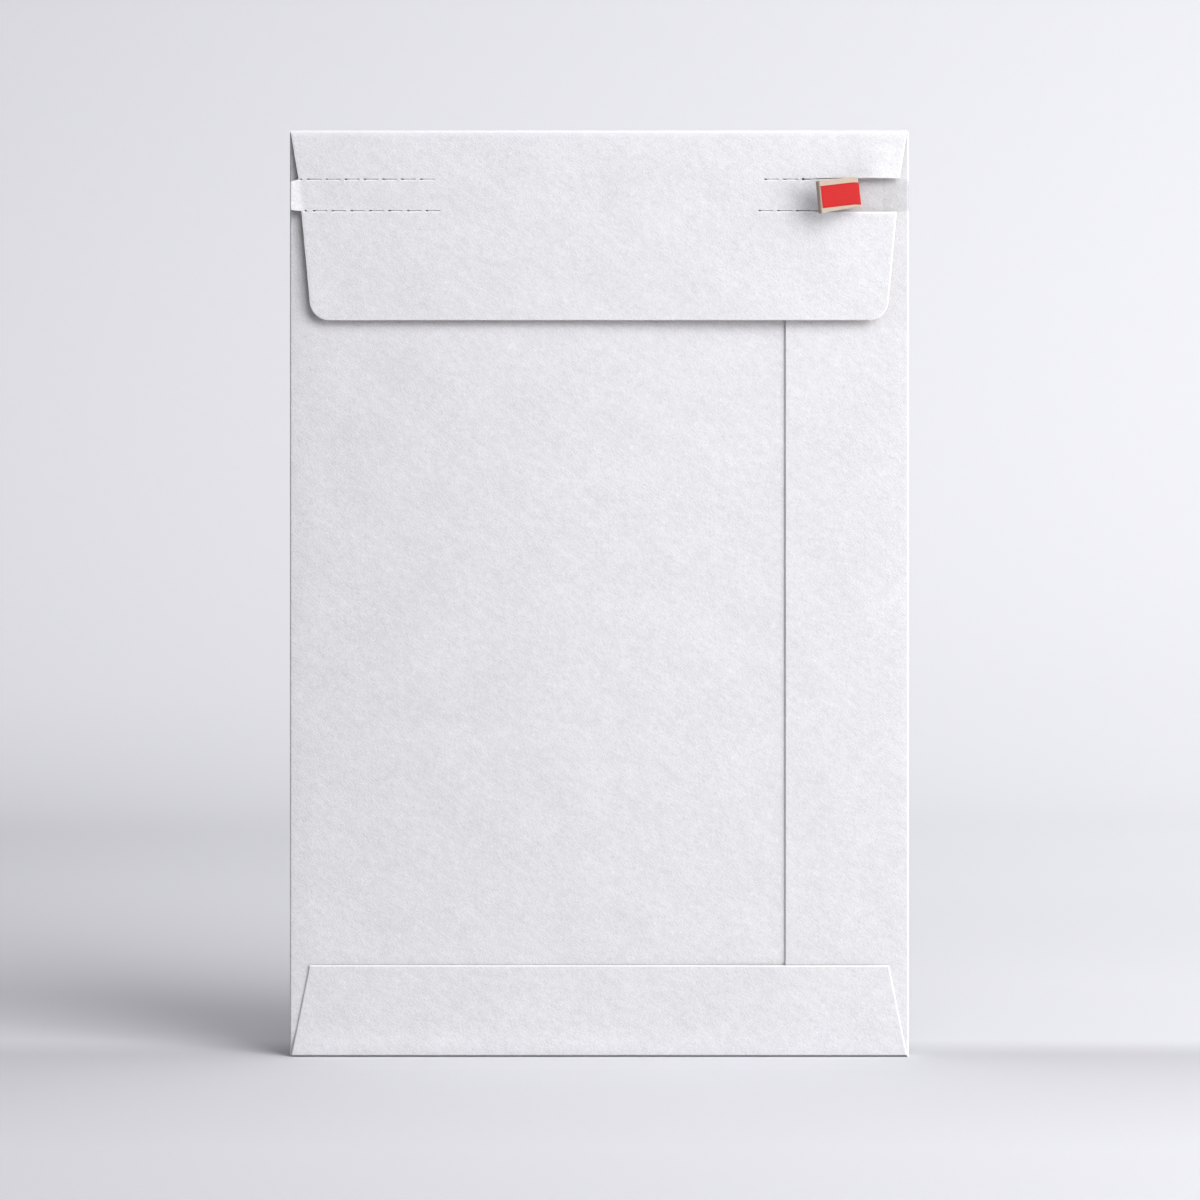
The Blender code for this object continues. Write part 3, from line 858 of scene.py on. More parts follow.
def place_on_pouch(across, up, height):
    if on_base(across, up):
        point, out = BASE.at(up - BASE_START)
        lift = height
        if up < BOTTOM_CREASE:
            lift -= bottom_settle(-across, point.y)
        tipped = BASE_TIP * smooth((FRONT_Y - point.x) / (FRONT_Y - BOTTOM_Y)) * (1 - smooth(point.y / 0.012))
        return Vector((-across, point.x + out.x * lift, point.y + out.y * lift + tipped))
    point, out = WRAP.at(across + WRAP_MIDDLE)
    lift = height
    if across > LEFT_CORNER:
        lift += back_bow(point.x, up)
    return Vector((point.x + out.x * lift, point.y + out.y * lift, up))


def pouch_columns(width):
    exact = rim_lines(RIGHT_END, 1, width) + rim_lines(LEFT_END, -1, width)
    for side, corner in ((-1, -RIGHT_CORNER), (1, LEFT_CORNER)):
        creases = crease_lines(CORNER_X, CORNER_X + CREASE_LENGTH) + crease_lines(corner - CREASE_LENGTH, corner)
        slits = [SLIT_X, SLIT_END_X] + [SLIT_X - width * step for step in RIM_STEPS[1:]]
        exact += [side * place for place in creases + slits]
    exact += [RIGHT_CORNER + step for step in (HIGHLIGHT_FROM, HIGHLIGHT_MIDDLE, HIGHLIGHT_TO)]
    loose = spaced(RIGHT_END, RIGHT_CORNER, FINE * 2) + spaced(RIGHT_CORNER, -CORNER_X, BEND_STEP)
    loose += spaced(-CORNER_X, CORNER_X, WIDE) + spaced(CORNER_X, LEFT_CORNER, BEND_STEP)
    return grid_lines(exact, loose + spaced(LEFT_CORNER, LEFT_END, WIDE))


def pouch_rows(width):
    exact = rim_lines(BOTTOM_EDGE, 1, width) + rim_lines(MOUTH_Z, -1, width) + [SPINE_TOP_Z]
    exact += crease_lines(BOTTOM_CREASE, BOTTOM_CREASE + CREASE_LENGTH) + crease_lines(BASE_Z - CREASE_LENGTH, BASE_Z)
    exact += [SPINE_FOOT_Z, PANEL_FOOT_Z, REAR_SEAM_Z]
    exact += [PANEL_FOOT_Z + width * step for step in RIM_STEPS[3:]]
    exact += spaced(PRESSED_Z, PRESSED_Z + 0.0012, 0.0003) + spaced(PRESSED_Z + 0.0018, PRESSED_Z + 0.0042, 0.0006)
    exact += [cut + side * 0.001 for cut in (LOWER_CUT, UPPER_CUT) for side in (-1, 1)]
    loose = spaced(BOTTOM_EDGE, BOTTOM_CREASE, FINE) + spaced(BOTTOM_CREASE, BASE_Z, BEND_STEP)
    return grid_lines(exact, loose + spaced(BASE_Z, 0.04, FINE * 2) + spaced(0.04, MOUTH_Z, WIDE))


def pouch_edges(width, drop):
    """Cut edges of the pouch, with painted highlights on the bottom flap's top and right edges, and the groove pressed
    in above the bottom flap.
    """
    edges = [
        rim_edge((RIGHT_END, PANEL_FOOT_Z), (RIGHT_END, MOUTH_Z), width * 0.4, drop * 0.3),
        rim_edge((LEFT_END, PANEL_FOOT_Z), (LEFT_END, MOUTH_Z), width, drop),
        # Painted highlight along the bottom flap's top edge
        rim_edge((-BOTTOM_TOP_HALF, BOTTOM_EDGE), (BOTTOM_TOP_HALF, BOTTOM_EDGE), width, drop, white=1.0),
    ]
    for level in (PANEL_FOOT_Z, MOUTH_Z):
        edges.append(rim_edge((RIGHT_END, level), (RIGHT_CORNER, level), width, drop))
        edges.append(rim_edge((LEFT_CORNER, level), (LEFT_END, level), width, drop))
    # Painted highlight on the bottom flap's right slanting edge, none on its left
    for side, white in ((-1, 0.8), (1, 0.0)):
        top = (side * BOTTOM_TOP_HALF, BOTTOM_EDGE)
        low = (side * BOTTOM_BASE_HALF, BOTTOM_CREASE)
        edges.append(rim_edge(top, low, width * 0.7, drop * 0.7, white=white))
        edges.append(rim_edge(low, (side * BOTTOM_BASE_HALF, BASE_Z - CREASE_LENGTH), 0.0003, 0.0001))
    for start, end in ((LEFT_CORNER + 0.005, LEFT_END), (RIGHT_END, RIGHT_CORNER - 0.007)):
        edges.append(rim_edge((start, PRESSED_Z), (end, PRESSED_Z), PRESSED_WIDTH, PRESSED_DEPTH))
    return edges


def make_pouch(board, looks):
    """The address side, both spines, the back panels, the base and the bottom flap as one folded sheet."""
    width, drop = board.rim_width, board.rim_drop

    def kept(across, up):
        if abs(across) < SLIT_X:
            return BOTTOM_EDGE < up < REAR_SEAM_Z
        if abs(across) < SLIT_END_X:
            return BASE_Z < up < REAR_SEAM_Z
        return pouch_foot(across) < up < pouch_top(across)

    def warp(across, up):
        narrowed = on_base(across, up) and up < BOTTOM_CREASE
        return (across * bottom_half(up) / BOTTOM_BASE_HALF if narrowed else across, up)

    def highlight_at(across, up):
        """A painted highlight along the right outline, but for the part that the flap's strip has covered, and weaker
        above the upper tear line.
        """
        from_corner = across - RIGHT_CORNER
        outline = min((from_corner - 0.00020) / 0.00020, (HIGHLIGHT_TO - from_corner) / 0.0003)
        covered = smooth((up - LOWER_CUT + 0.001) / 0.002) * smooth((UPPER_CUT + 0.001 - up) / 0.002)
        upper = smooth((up - UPPER_CUT) / 0.002)
        return min(max(outline, 0.0), 1.0) * (1 - 0.85 * covered) * (1 - 0.6 * upper)

    levels = board_levels(pouch_edges(width, drop), highlight_at)
    columns, rows = pouch_columns(width), pouch_rows(width)
    piece = folded_sheet("pouch_board", columns, rows, kept, warp, levels, place_on_pouch, looks)
    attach(piece, "pouch")
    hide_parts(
        "front_panel", "left_spine", "right_spine", "left_back_panel", "side_flap", "base_spine", "bottom_flap"
    )


def always(_across, _up):
    return True


def as_drawn(across, up):
    return (across, up)


def glue_sheet(name, columns, rows, outer, inner, place, body, node_name, look):
    """A thin film between two boards, following the fold of the board it is on."""
    levels = film_levels(outer, inner)
    piece = folded_sheet(name, columns, rows, always, as_drawn, levels, place, [look] * 3)
    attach(piece, body)
    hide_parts(node_name)


# Closure flap


def flap_half(up):
    """Half the width of the closure flap at a height on the blank, with its rounded lower corners."""
    if up >= HEIGHT:
        return TOP_HALF
    if up >= UPPER_CUT:
        return UPPER_CUT_HALF + (TOP_HALF - UPPER_CUT_HALF) * (up - UPPER_CUT) / (HEIGHT - UPPER_CUT)
    if up >= LOWER_CUT:
        return LOWER_CUT_HALF + (UPPER_CUT_HALF - LOWER_CUT_HALF) * (up - LOWER_CUT) / (UPPER_CUT - LOWER_CUT)
    half = FOOT_HALF + (LOWER_CUT_HALF - FOOT_HALF) * (up - FLAP_FOOT_Z) / (LOWER_CUT - FLAP_FOOT_Z)
    into = FOOT_RADIUS - (up - FLAP_FOOT_Z)
    if into > 0:
        half -= FOOT_RADIUS - math.sqrt(max(FOOT_RADIUS**2 - into**2, 0.0))
    return half


def squeeze(up):
    return (flap_half(up) - SQUEEZE_FROM) / (UPPER_CUT_HALF - SQUEEZE_FROM)


def squeezed(across, share):
    """Moves a grid column, given for the upper tear line, to the flap's own width where share is its squeeze."""
    outer = abs(across) - SQUEEZE_FROM
    return math.copysign(SQUEEZE_FROM + outer * share, across) if outer > 0 else across


def cut_marks(nick_inset, dash_inset):
    """Slots of a tear line, as pairs of X from left to right. The right end mirrors the left."""
    nick = nick_inset - HALF_WIDTH
    marks = [(nick, nick + NICK_LENGTH)]
    for count in range(DASH_COUNT):
        start = dash_inset - HALF_WIDTH + count * DASH_PITCH
        marks.append((start, start + DASH_LENGTH))
    return marks + [(-end, -start) for start, end in reversed(marks)]


# The last slot of the upper line runs on into the tear
UPPER_MARKS = [m for m in cut_marks(UPPER_NICK, UPPER_DASH) if m[1] < TORN_X] + [LAST_SLOT]
LOWER_MARKS = [m for m in cut_marks(LOWER_NICK, LOWER_DASH) if m[1] < TORN_X]


def mark_columns(marks, share):
    """Grid columns that follow the slots of a tear line, as they are before they are squeezed by a share."""
    found = []
    for start, end in marks:
        for steps in (SLOT_NEAR, SLOT_FAR):
            found += [start + step for step in steps] + [end - step for step in reversed(steps)]
        if end - start > SHORT_SLOT:
            found += [start + 0.0008, start + 0.0013, start + (end - start) * 0.5, end - 0.0012, end - 0.0007]
    return [squeezed(place, 1 / share) for place in found]


def notch(across, marks, slot_width):
    """Half the opening of a slot at a place along a tear line: wide where the blade enters, then thin."""
    for number, (start, end) in enumerate(marks):
        if start - 0.00007 < across < end + 0.00007:
            from_start = across - start
            from_end = end - across
            ends = min(1.0, (from_start + 0.00008) / 0.0002, (from_end + 0.00008) / 0.0002)
            entry = 1.0 - smooth((from_start - 0.0007) / 0.0006)
            exit_share = 1.0 - smooth((from_end - 0.0006) / 0.0006)
            wander = 0.85 + 0.35 * noise.noise(Vector((number * 7.3, across * 900, marks[0][0] * 100)))
            strained = 1 + 0.6 * smooth((across - 0.079) / 0.004)
            return slot_width / 2 * ends * strained * (wander + 1.5 * entry + 0.45 * exit_share)
    return 0.0


def flap_bow(across, up):
    """How far the closure flap stands out from flat.

    It springs off its crease, and the tear has pulled it out beside the lifted end of the strip.
    """
    below = max(FLAP_TOP - up, 0.0)
    foot = (below / (FLAP_TOP - FLAP_FOOT_Z)) ** 2
    sprung = FLAP_SPRING * (1 - math.exp(-below / SPRING_DEPTH)) + FOOT_SPRING * foot
    at_left = smooth((-across - LEFT_SETTLE_X) / LEFT_SETTLE_REACH)
    settled = 1 - LEFT_SETTLE * at_left * smooth(below / LEFT_SETTLE_DEPTH)
    pulled = PULL * hill(across, up, PULL_PLACE, PULL_SPREAD)
    drawn = DRAW * hill(across, up, DRAW_PLACE, DRAW_SPREAD)
    return sprung * settled + (pulled + drawn) * (1 - smooth((up - PULL_END) / PULL_FADE))


def place_on_flap(across, up, height):
    point, out = CLOSURE.at(CLOSURE_START - up)
    lift = height + flap_bow(across, up)
    return Vector((across, point.x + out.x * lift, point.y + out.y * lift))


FLAP_LINES = mark_columns(UPPER_MARKS, squeeze(UPPER_CUT)) + mark_columns(LOWER_MARKS, squeeze(LOWER_CUT))


def flap_columns(width):
    exact = rim_lines(UPPER_CUT_HALF, -1, width) + rim_lines(-UPPER_CUT_HALF, 1, width)
    exact += FLAP_LINES + TORN_LINES
    loose = spaced(FINER_X, FLAP_EDGE_X, BEND_STEP) + spaced(TORN_X, FINER_X, FINE)
    loose += spaced(-FLAP_EDGE_X, FINE_LEFT_X, FINE) + spaced(FINE_LEFT_X, TORN_X, WIDE)
    return grid_lines(exact, loose)


def torn_back(across, recess):
    """How far a torn edge lies behind its tear line, starting where the last slot ends."""
    return recess * (0.45 + 0.55 * smooth((across - TORN_X) / 0.0025))


def ragged(across, seed):
    """Slight unevenness of a torn edge."""
    coarse = 0.00007 * noise.noise(Vector((across * 700, seed, 0)))
    return coarse + 0.00005 * noise.noise(Vector((across * 2600, seed, 5)))


def make_top(board, looks):
    """The rear half of the top, from the address side over the rear crease."""
    width, drop = board.rim_width, board.rim_drop
    exact = rim_lines(SLIT_X, -1, width) + rim_lines(-SLIT_X, 1, width)
    columns = grid_lines(exact, spaced(-SLIT_X, SLIT_X, WIDE))
    exact = crease_lines(REAR_CREASE_TOP, REAR_CREASE_END) + [SPINE_MIDDLE, CLOSURE_START]
    loose = spaced(SPINE_MIDDLE, REAR_CREASE_TOP, BEND_STEP)
    rows = grid_lines(exact, loose + spaced(CLOSURE_START - REAR_RUN, CLOSURE_START, BEND_STEP))

    def warp(across, up):
        share = smooth((REAR_CREASE_END - up) / CREASE_LENGTH)
        return (across * (1 + (TOP_HALF / SLIT_X - 1) * share), up)

    edges = []
    for side in (-1, 1):
        rear, front = side * SLIT_X, side * TOP_HALF
        edges.append(rim_edge((rear, CLOSURE_START + width), (rear, REAR_CREASE_END), width, drop))
        edges.append(rim_edge((front, REAR_CREASE_TOP), (front, SPINE_MIDDLE - width), width, drop))
    piece = folded_sheet("top_rear_board", columns, rows, always, warp, board_levels(edges), place_on_flap, looks)
    start, end = (0, FRONT_Y + HALF_BOARD, CREASE_Z), (0, FRONT_Y - CREASE, HEIGHT)
    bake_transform(piece)
    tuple(start)
    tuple(end)
    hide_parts("top_spine")


def top_highlight(_across, up):
    """A painted highlight along the front crease."""
    return min(max(1.4 - abs(up - CREASE_Z - 0.0001) / 0.0007, 0.0), 1.0)


def side_edges(up_from, up_to, width, drop):
    """Both slanting sides of the flap between two heights, with a painted highlight at the right."""
    heights = sorted({v for v in (up_from, *corner_heights(), HEIGHT, up_to) if up_from <= v <= up_to})
    edges = []
    for low, high in zip(heights, heights[1:]):
        edges.append(rim_edge((flap_half(low), low), (flap_half(high), high), width * 0.7, drop * 0.7, white=1.0))
        edges.append(rim_edge((-flap_half(low), low), (-flap_half(high), high), width / 2, drop / 3))
    return edges


def corner_heights():
    """Heights that follow the flap's rounded lower corners."""
    turn = QUARTER / CORNER_STEPS
    return [FLAP_FOOT_Z + FOOT_RADIUS * (1 - math.cos(turn * step)) for step in range(CORNER_STEPS + 1)]


# Rims along the slots; the pressed ones below a tear line carry a painted highlight
SLOT_RIM = {"width": 0.00030, "drop": 0.00008, "burr": 0.00002}
PRESSED_RIM = {"width": 0.00085, "drop": 0.00020, "white": 1.0}


def slot_edges(marks, level, side, slot_width):
    """Rims along the slots of a tear line, above it (1) or below it (-1), where the blade pressed them in. The pressed
    rims below it carry a painted highlight.
    """
    edges = []
    rim = PRESSED_RIM if side < 0 else SLOT_RIM
    for start, end in marks:
        long = side < 0 and end - start > SHORT_SLOT
        steps = spaced(start + 0.0003, end - 0.0003, 0.0006) if long else [start, end]
        outline = [(place, level + side * notch(place, marks, slot_width)) for place in steps]
        edges += [rim_edge(first, second, **rim) for first, second in zip(outline, outline[1:])]
    return edges


def band_warp(cut, side, marks, slot, recess, seed):
    """Moves a band's edge at a tear line to its slots, and back to a ragged line where it is torn."""
    def warp(across, up):
        moved = squeezed(across, squeeze(up))
        fade = max(0.0, 1 - side * (up - cut) / CUT_REACH)
        if not fade:
            return (moved, up)
        if moved <= TORN_X:
            return (moved, up + side * fade * notch(moved, marks, slot))
        return (moved, up + side * fade * (torn_back(moved, recess) + ragged(moved, seed)))

    return warp


def make_upper_band(board, looks):
    """The front half of the top and the flap down to the upper tear line."""
    width, drop, slot = board.rim_width, board.rim_drop, board.slot_width
    exact = [UPPER_CUT + step for step in CUT_ROWS] + [SPINE_MIDDLE]
    exact += crease_lines(CREASE_Z, FRONT_CREASE_TOP) + [CREASE_Z - 0.00025, CREASE_Z - 0.0006]
    loose = spaced(UPPER_CUT + BEND_STEP, PULL_END, BEND_STEP) + spaced(PULL_END, CREASE_Z, FINE)
    rows = grid_lines(exact, loose + spaced(FRONT_CREASE_TOP, SPINE_MIDDLE, BEND_STEP))
    warp = band_warp(UPPER_CUT, 1, UPPER_MARKS, slot, UPPER_TORN, 1.0)
    edges = side_edges(UPPER_CUT, SPINE_MIDDLE, width, drop)
    edges += slot_edges(UPPER_MARKS, UPPER_CUT, 1, slot)
    torn = UPPER_CUT + UPPER_TORN
    edges.append(rim_edge((TORN_FROM, torn), (UPPER_HIGHLIGHT_X, torn), 0.0006, 0.00012))
    # Painted highlight on the torn edge at the right
    edges.append(rim_edge((UPPER_HIGHLIGHT_X, torn), (UPPER_CUT_HALF, torn), 0.0008, 0.00016, 0.00012, 1.0))
    columns, levels = flap_columns(width), board_levels(edges, top_highlight)
    piece = folded_sheet("flap_upper_board", columns, rows, always, warp, levels, place_on_flap, looks)
    start, end = (0, FLAP_Y + CREASE, HEIGHT), (0, FLAP_Y - HALF_BOARD, CREASE_Z)
    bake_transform(piece)
    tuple(start)
    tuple(end)
    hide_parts("flap_upper_band")


def make_lower_band(board, looks):
    """The flap below the lower tear line."""
    width, drop, slot = board.rim_width, board.rim_drop, board.slot_width
    exact = [LOWER_CUT - step for step in CUT_ROWS] + corner_heights() + rim_lines(FLAP_FOOT_Z, 1, width)
    loose = spaced(FINE_Z, LOWER_CUT - BEND_STEP, FINE) + spaced(FLAP_FOOT_Z, FINE_Z, FINE * 2)
    rows = grid_lines(exact, loose)
    warp = band_warp(LOWER_CUT, -1, LOWER_MARKS, slot, LOWER_TORN, 2.0)
    edges = side_edges(FLAP_FOOT_Z, LOWER_CUT, width, drop)
    foot = flap_half(FLAP_FOOT_Z)
    edges.append(rim_edge((-foot, FLAP_FOOT_Z), (foot, FLAP_FOOT_Z), width * 0.4, drop / 4))
    edges += slot_edges(LOWER_MARKS, LOWER_CUT, -1, slot)
    torn = LOWER_CUT - LOWER_TORN
    edges.append(rim_edge((TORN_FROM, torn), (LOWER_HIGHLIGHT_X, torn), 0.0008, 0.00020))
    # Painted highlight on the torn edge at the right
    edges.append(rim_edge((LOWER_HIGHLIGHT_X, torn), (LOWER_CUT_HALF, torn), 0.0012, 0.00030, 0.00004, 1.0))
    columns, levels = flap_columns(width), board_levels(edges)
    piece = folded_sheet("flap_lower_board", columns, rows, always, warp, levels, place_on_flap, looks)
    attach(piece, "closure_flap")
    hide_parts("flap_lower_band")


# Tear strip


def place_on_tab(across, up, height):
    """The strip's left end, raised beyond a crease that follows the flap's slanting side."""
    crease_x = -flap_half(up)
    beyond = crease_x - across
    point = place_on_flap(max(across, crease_x), up, 0)
    turned = min(max(beyond / TAB_BEND + 0.5, 0.0), 1.0)
    raised = beyond if turned == 1 else TAB_BEND * turned * turned / 2
    reach = max(beyond, 0.0)
    turn = TAB_LIFT * turned
    out = Vector((math.sin(turn), -math.cos(turn), 0))
    raised_to = Vector((-reach * math.cos(TAB_LIFT), -raised * math.sin(TAB_LIFT), -TAB_DROOP * reach))
    return point + raised_to + out * height


def place_on_strip(across, up, height):
    """The strip, held flat in the flap and then lifting where it is torn free."""
    point, out = STRIP.at(across - STRIP_START)
    lift = height + flap_bow(min(across, LIFT_MIDDLE), up)
    return Vector((point.x + out.x * lift, point.y + out.y * lift, up))


def place_on_tail(across, up, height):
    """The end of the torn stretch, folded back over itself on a skewed line, with its tip creased over."""
    rise = up - STRIP_MID
    share = min(max((across - FOLD_X) / (STRIP_END_X - FOLD_X), 0.0), 1.0)
    slant = TIP_SLANT * rise
    flat, out = TIP.at(across - END_SLANT * rise * share - slant)
    along = flat.x + slant + out.x * height - FOLD_X
    raised = -(flat.y + out.y * height)
    leaned = along * math.cos(FOLD_SKEW) + rise * math.sin(FOLD_SKEW)
    across_fold = rise * math.cos(FOLD_SKEW) - along * math.sin(FOLD_SKEW)
    across_fold += TAIL_RISE * smooth(0.5 + leaned / 0.004)
    point, out = FOLD.at(leaned + HALF_WIDTH)
    folded = point + out * raised
    near_fold = 1 - smooth(abs(leaned) / 0.0085)
    local = folded.x * math.cos(FOLD_SKEW) - across_fold * math.sin(FOLD_SKEW) + FOLD_X - FOLD_SHEAR * near_fold * rise
    level = folded.x * math.sin(FOLD_SKEW) + across_fold * math.cos(FOLD_SKEW)
    origin, out = STRIP.at(FOLD_SEAM_X - STRIP_START)
    ahead = Vector((-out.y, out.x))
    placed = origin + ahead * (local - FOLD_SEAM_X) + out * (flap_bow(LIFT_MIDDLE, up) - folded.y)
    return Vector((placed.x, placed.y, STRIP_MID + level))


# Where the strip's fold starts and ends, at the middle of the strip
FOLD_FROM = tuple(place_on_tail(ARC_START, STRIP_MID, 0))
FOLD_TO = tuple(place_on_tail(ARC_START + ARC_LENGTH, STRIP_MID, 0))

# Grid columns across those bends
TAB_LINES = spaced(-0.1240, -0.1208, 0.0002)
FOLD_LEAN = math.tan(FOLD_SKEW) * (UPPER_CUT - STRIP_MID)
PEEL_LINES = spaced(PEEL_X - PEEL_HALF, PEEL_X + PEEL_HALF, 0.0004)
LIFT_LINES = spaced(LIFT_START, LIFT_END, 0.0005)
FOLD_LINES = spaced(ARC_START - FOLD_LEAN, ARC_START + ARC_LENGTH + FOLD_LEAN, 0.00012)
TIP_LINES = spaced(TIP_X - 0.0004, TIP_X + TIP_BEND + 0.0004, 0.0001)
STRIP_MARKS = mark_columns(UPPER_MARKS, 1) + mark_columns(LOWER_MARKS, 1)


def strip_rows():
    exact = [LOWER_CUT + step for step in CUT_ROWS] + [UPPER_CUT - step for step in CUT_ROWS]
    exact += [STRIP_MID - TAPE_HALF, STRIP_MID + TAPE_HALF]
    return grid_lines(exact, spaced(LOWER_CUT + 0.001, UPPER_CUT - 0.001, 0.002))


def torn_wander(across, above):
    """How far the tear ran inside the strip's tear line. It wandered off it on the folded end."""
    begun = smooth((across - 0.098) / 0.006)
    if above:
        return 0.00008 - 0.00035 * begun
    return 0.00008 + 0.00080 * begun * (1 - smooth((across - 0.1085) / 0.0165))


def strip_warp(slot, torn_from=TORN_X):
    """Moves the strip's edges to its slots where it is held, and leaves them slightly ragged where it is torn."""
    def warp(across, up):
        above = up > STRIP_MID
        side = 1 if above else -1
        fade = max(0.0, 1 - abs(up - (UPPER_CUT if above else LOWER_CUT)) / CUT_REACH)
        if not fade:
            return (across, up)
        if across <= torn_from:
            return (across, up - side * fade * notch(across, UPPER_MARKS if above else LOWER_MARKS, slot))
        return (across, up - side * fade * (torn_wander(across, above) + ragged(across, 3.0 if above else 4.0)))

    return warp


def strip_columns(start, stop, exact, step):
    marks = [place for place in STRIP_MARKS if start < place < stop]
    return grid_lines([start, stop] + marks + exact, spaced(start, stop, step))


def torn_edges(start, stop):
    edges = []
    for side, cut in ((-1, LOWER_CUT), (1, UPPER_CUT)):
        outline = [(place, cut - side * torn_wander(place, side > 0)) for place in spaced(start, stop, 0.002)]
        edges += [rim_edge(low, high, END_RIM, END_DROP, 0.00003) for low, high in zip(outline, outline[1:])]
    return edges


def held_edges(slot):
    return slot_edges(UPPER_MARKS, UPPER_CUT, -1, slot) + slot_edges(LOWER_MARKS, LOWER_CUT, 1, slot)


def end_half(across, end, root, tip_half, corner):
    """Half the height of an end of the strip, with its rounded corners."""
    share = (across - root) / (end - root)
    half = STRIP_HALF + (tip_half - STRIP_HALF) * share
    into = corner - abs(end - across)
    if into > 0:
        half -= corner - math.sqrt(max(corner**2 - into**2, 0.0))
    return half


def end_lines(end, inward, corner):
    """Columns that follow the rounded corners of an end of the strip."""
    turn = QUARTER / END_STEPS
    return [end + inward * corner * (1 - math.cos(turn * step)) for step in range(END_STEPS + 1)]


def end_warp(base, end, root, tip_half, corner):
    """Shapes the strip towards a rounded end."""
    sign = 1 if end > root else -1

    def warp(across, up):
        moved, level = base(across, up)
        if (across - root) * sign <= 0:
            return (moved, level)
        half = end_half(across, end, root, tip_half, corner)
        return (moved, STRIP_MID + (level - STRIP_MID) * half / STRIP_HALF)

    return warp


def end_edges(end, root, tip_half, corner):
    """Rims round an end of the strip."""
    inward = 1 if root > end else -1
    places = sorted({root, *end_lines(end, inward, corner), end})
    outline = [(p, STRIP_MID - end_half(p, end, root, tip_half, corner)) for p in places]
    other = [(p, STRIP_MID + end_half(p, end, root, tip_half, corner)) for p in places]
    tip = -1 if end > root else 0
    pairs = [*zip(outline, outline[1:]), *zip(other, other[1:]), (outline[tip], other[tip])]
    return [rim_edge(first, second, END_RIM, END_DROP) for first, second in pairs]


def make_strip(board, looks):
    """The tear strip in four stretches: the raised tab, the held stretch, the lifted torn stretch and the folded tail.
    """
    slot = board.slot_width
    rows = strip_rows()

    def stretch(name, columns, warp, edges, place):
        piece = folded_sheet(name, columns, rows, always, warp, board_levels(edges), place, looks)
        return piece

    shape = (TAB_END_X, -UPPER_CUT_HALF, TAB_END_HEIGHT / 2, TAB_CORNER)
    rim = rim_lines(TAB_END_X, 1, END_RIM) + end_lines(TAB_END_X, 1, TAB_CORNER)
    columns = grid_lines([TAB_SEAM_X, TAB_END_X, *rim], TAB_LINES + [p for p in STRIP_MARKS if p < TAB_SEAM_X])
    edges = end_edges(*shape) + held_edges(slot)
    tab = stretch("strip_left_tab", columns, end_warp(strip_warp(slot), *shape), edges, place_on_tab)
    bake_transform(tab)
    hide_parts("tear_strip_left_tab")

    columns = strip_columns(TAB_SEAM_X, HELD_SEAM_X, PEEL_LINES, WIDE)
    held = stretch("strip_held", columns, strip_warp(slot), held_edges(slot), place_on_strip)
    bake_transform(held)
    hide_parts("tear_strip_left_end", "tear_strip")

    columns = strip_columns(HELD_SEAM_X, FOLD_SEAM_X, LIFT_LINES + TORN_LINES, LIFT_STEP)
    edges = held_edges(slot) + torn_edges(TORN_FROM, FOLD_SEAM_X + TORN_OVERLAP)
    torn = stretch("strip_torn", columns, strip_warp(slot), edges, place_on_strip)
    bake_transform(torn)
    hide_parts("tear_strip_lifted")

    root = STRIP_END_X - TIP_ROOT
    shape = (STRIP_END_X, root, STRIP_HALF, TAIL_CORNER)
    rim = rim_lines(STRIP_END_X, -1, END_RIM) + end_lines(STRIP_END_X, -1, TAIL_CORNER)
    columns = grid_lines([FOLD_SEAM_X, *rim, *FOLD_LINES, *TIP_LINES], spaced(FOLD_SEAM_X, STRIP_END_X, BEND_STEP))
    edges = torn_edges(FOLD_SEAM_X - TORN_OVERLAP, root) + end_edges(*shape)
    tail = stretch("strip_tail", columns, end_warp(strip_warp(slot, 0.0), *shape), edges, place_on_tail)
    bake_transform(tail)
    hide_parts("tear_strip_tail")


def make_tape(strip):
    """The tear tape on the strip's inner face, in the same stretches."""
    look = tape_look(strip)
    rows = spaced(STRIP_MID - TAPE_HALF, STRIP_MID + TAPE_HALF, 0.0013)
    near = -HALF_BOARD - 0.00001
    levels = film_levels(near, near - TAPE)

    def stretch(name, exact, loose, place):
        piece = folded_sheet(name, grid_lines(exact, loose), rows, always, as_drawn, levels, place, [look] * 3)
        return piece

    exact = [-LOWER_CUT_HALF + 0.0002, HELD_SEAM_X, *PEEL_LINES]
    held = stretch("tape_held", exact, spaced(-0.121, HELD_SEAM_X, WIDE), place_on_strip)
    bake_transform(held)
    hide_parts("tear_tape_left_end", "tear_tape")
    exact = [HELD_SEAM_X, FOLD_SEAM_X, *LIFT_LINES]
    torn = stretch("tape_torn", exact, spaced(HELD_SEAM_X, FOLD_SEAM_X, LIFT_STEP), place_on_strip)
    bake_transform(torn)
    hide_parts("tear_tape_lifted")
    end = STRIP_END_X - TAPE_END_MARGIN
    tail = stretch("tape_tail", [FOLD_SEAM_X, end, *FOLD_LINES], spaced(FOLD_SEAM_X, end, BEND_STEP), place_on_tail)
    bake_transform(tail)
    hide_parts("tear_tape_tail")


def on_left_panel(across):
    """Distance round the wrap of a place on the left back panel."""
    return LEFT_CORNER + CORNER_X + across


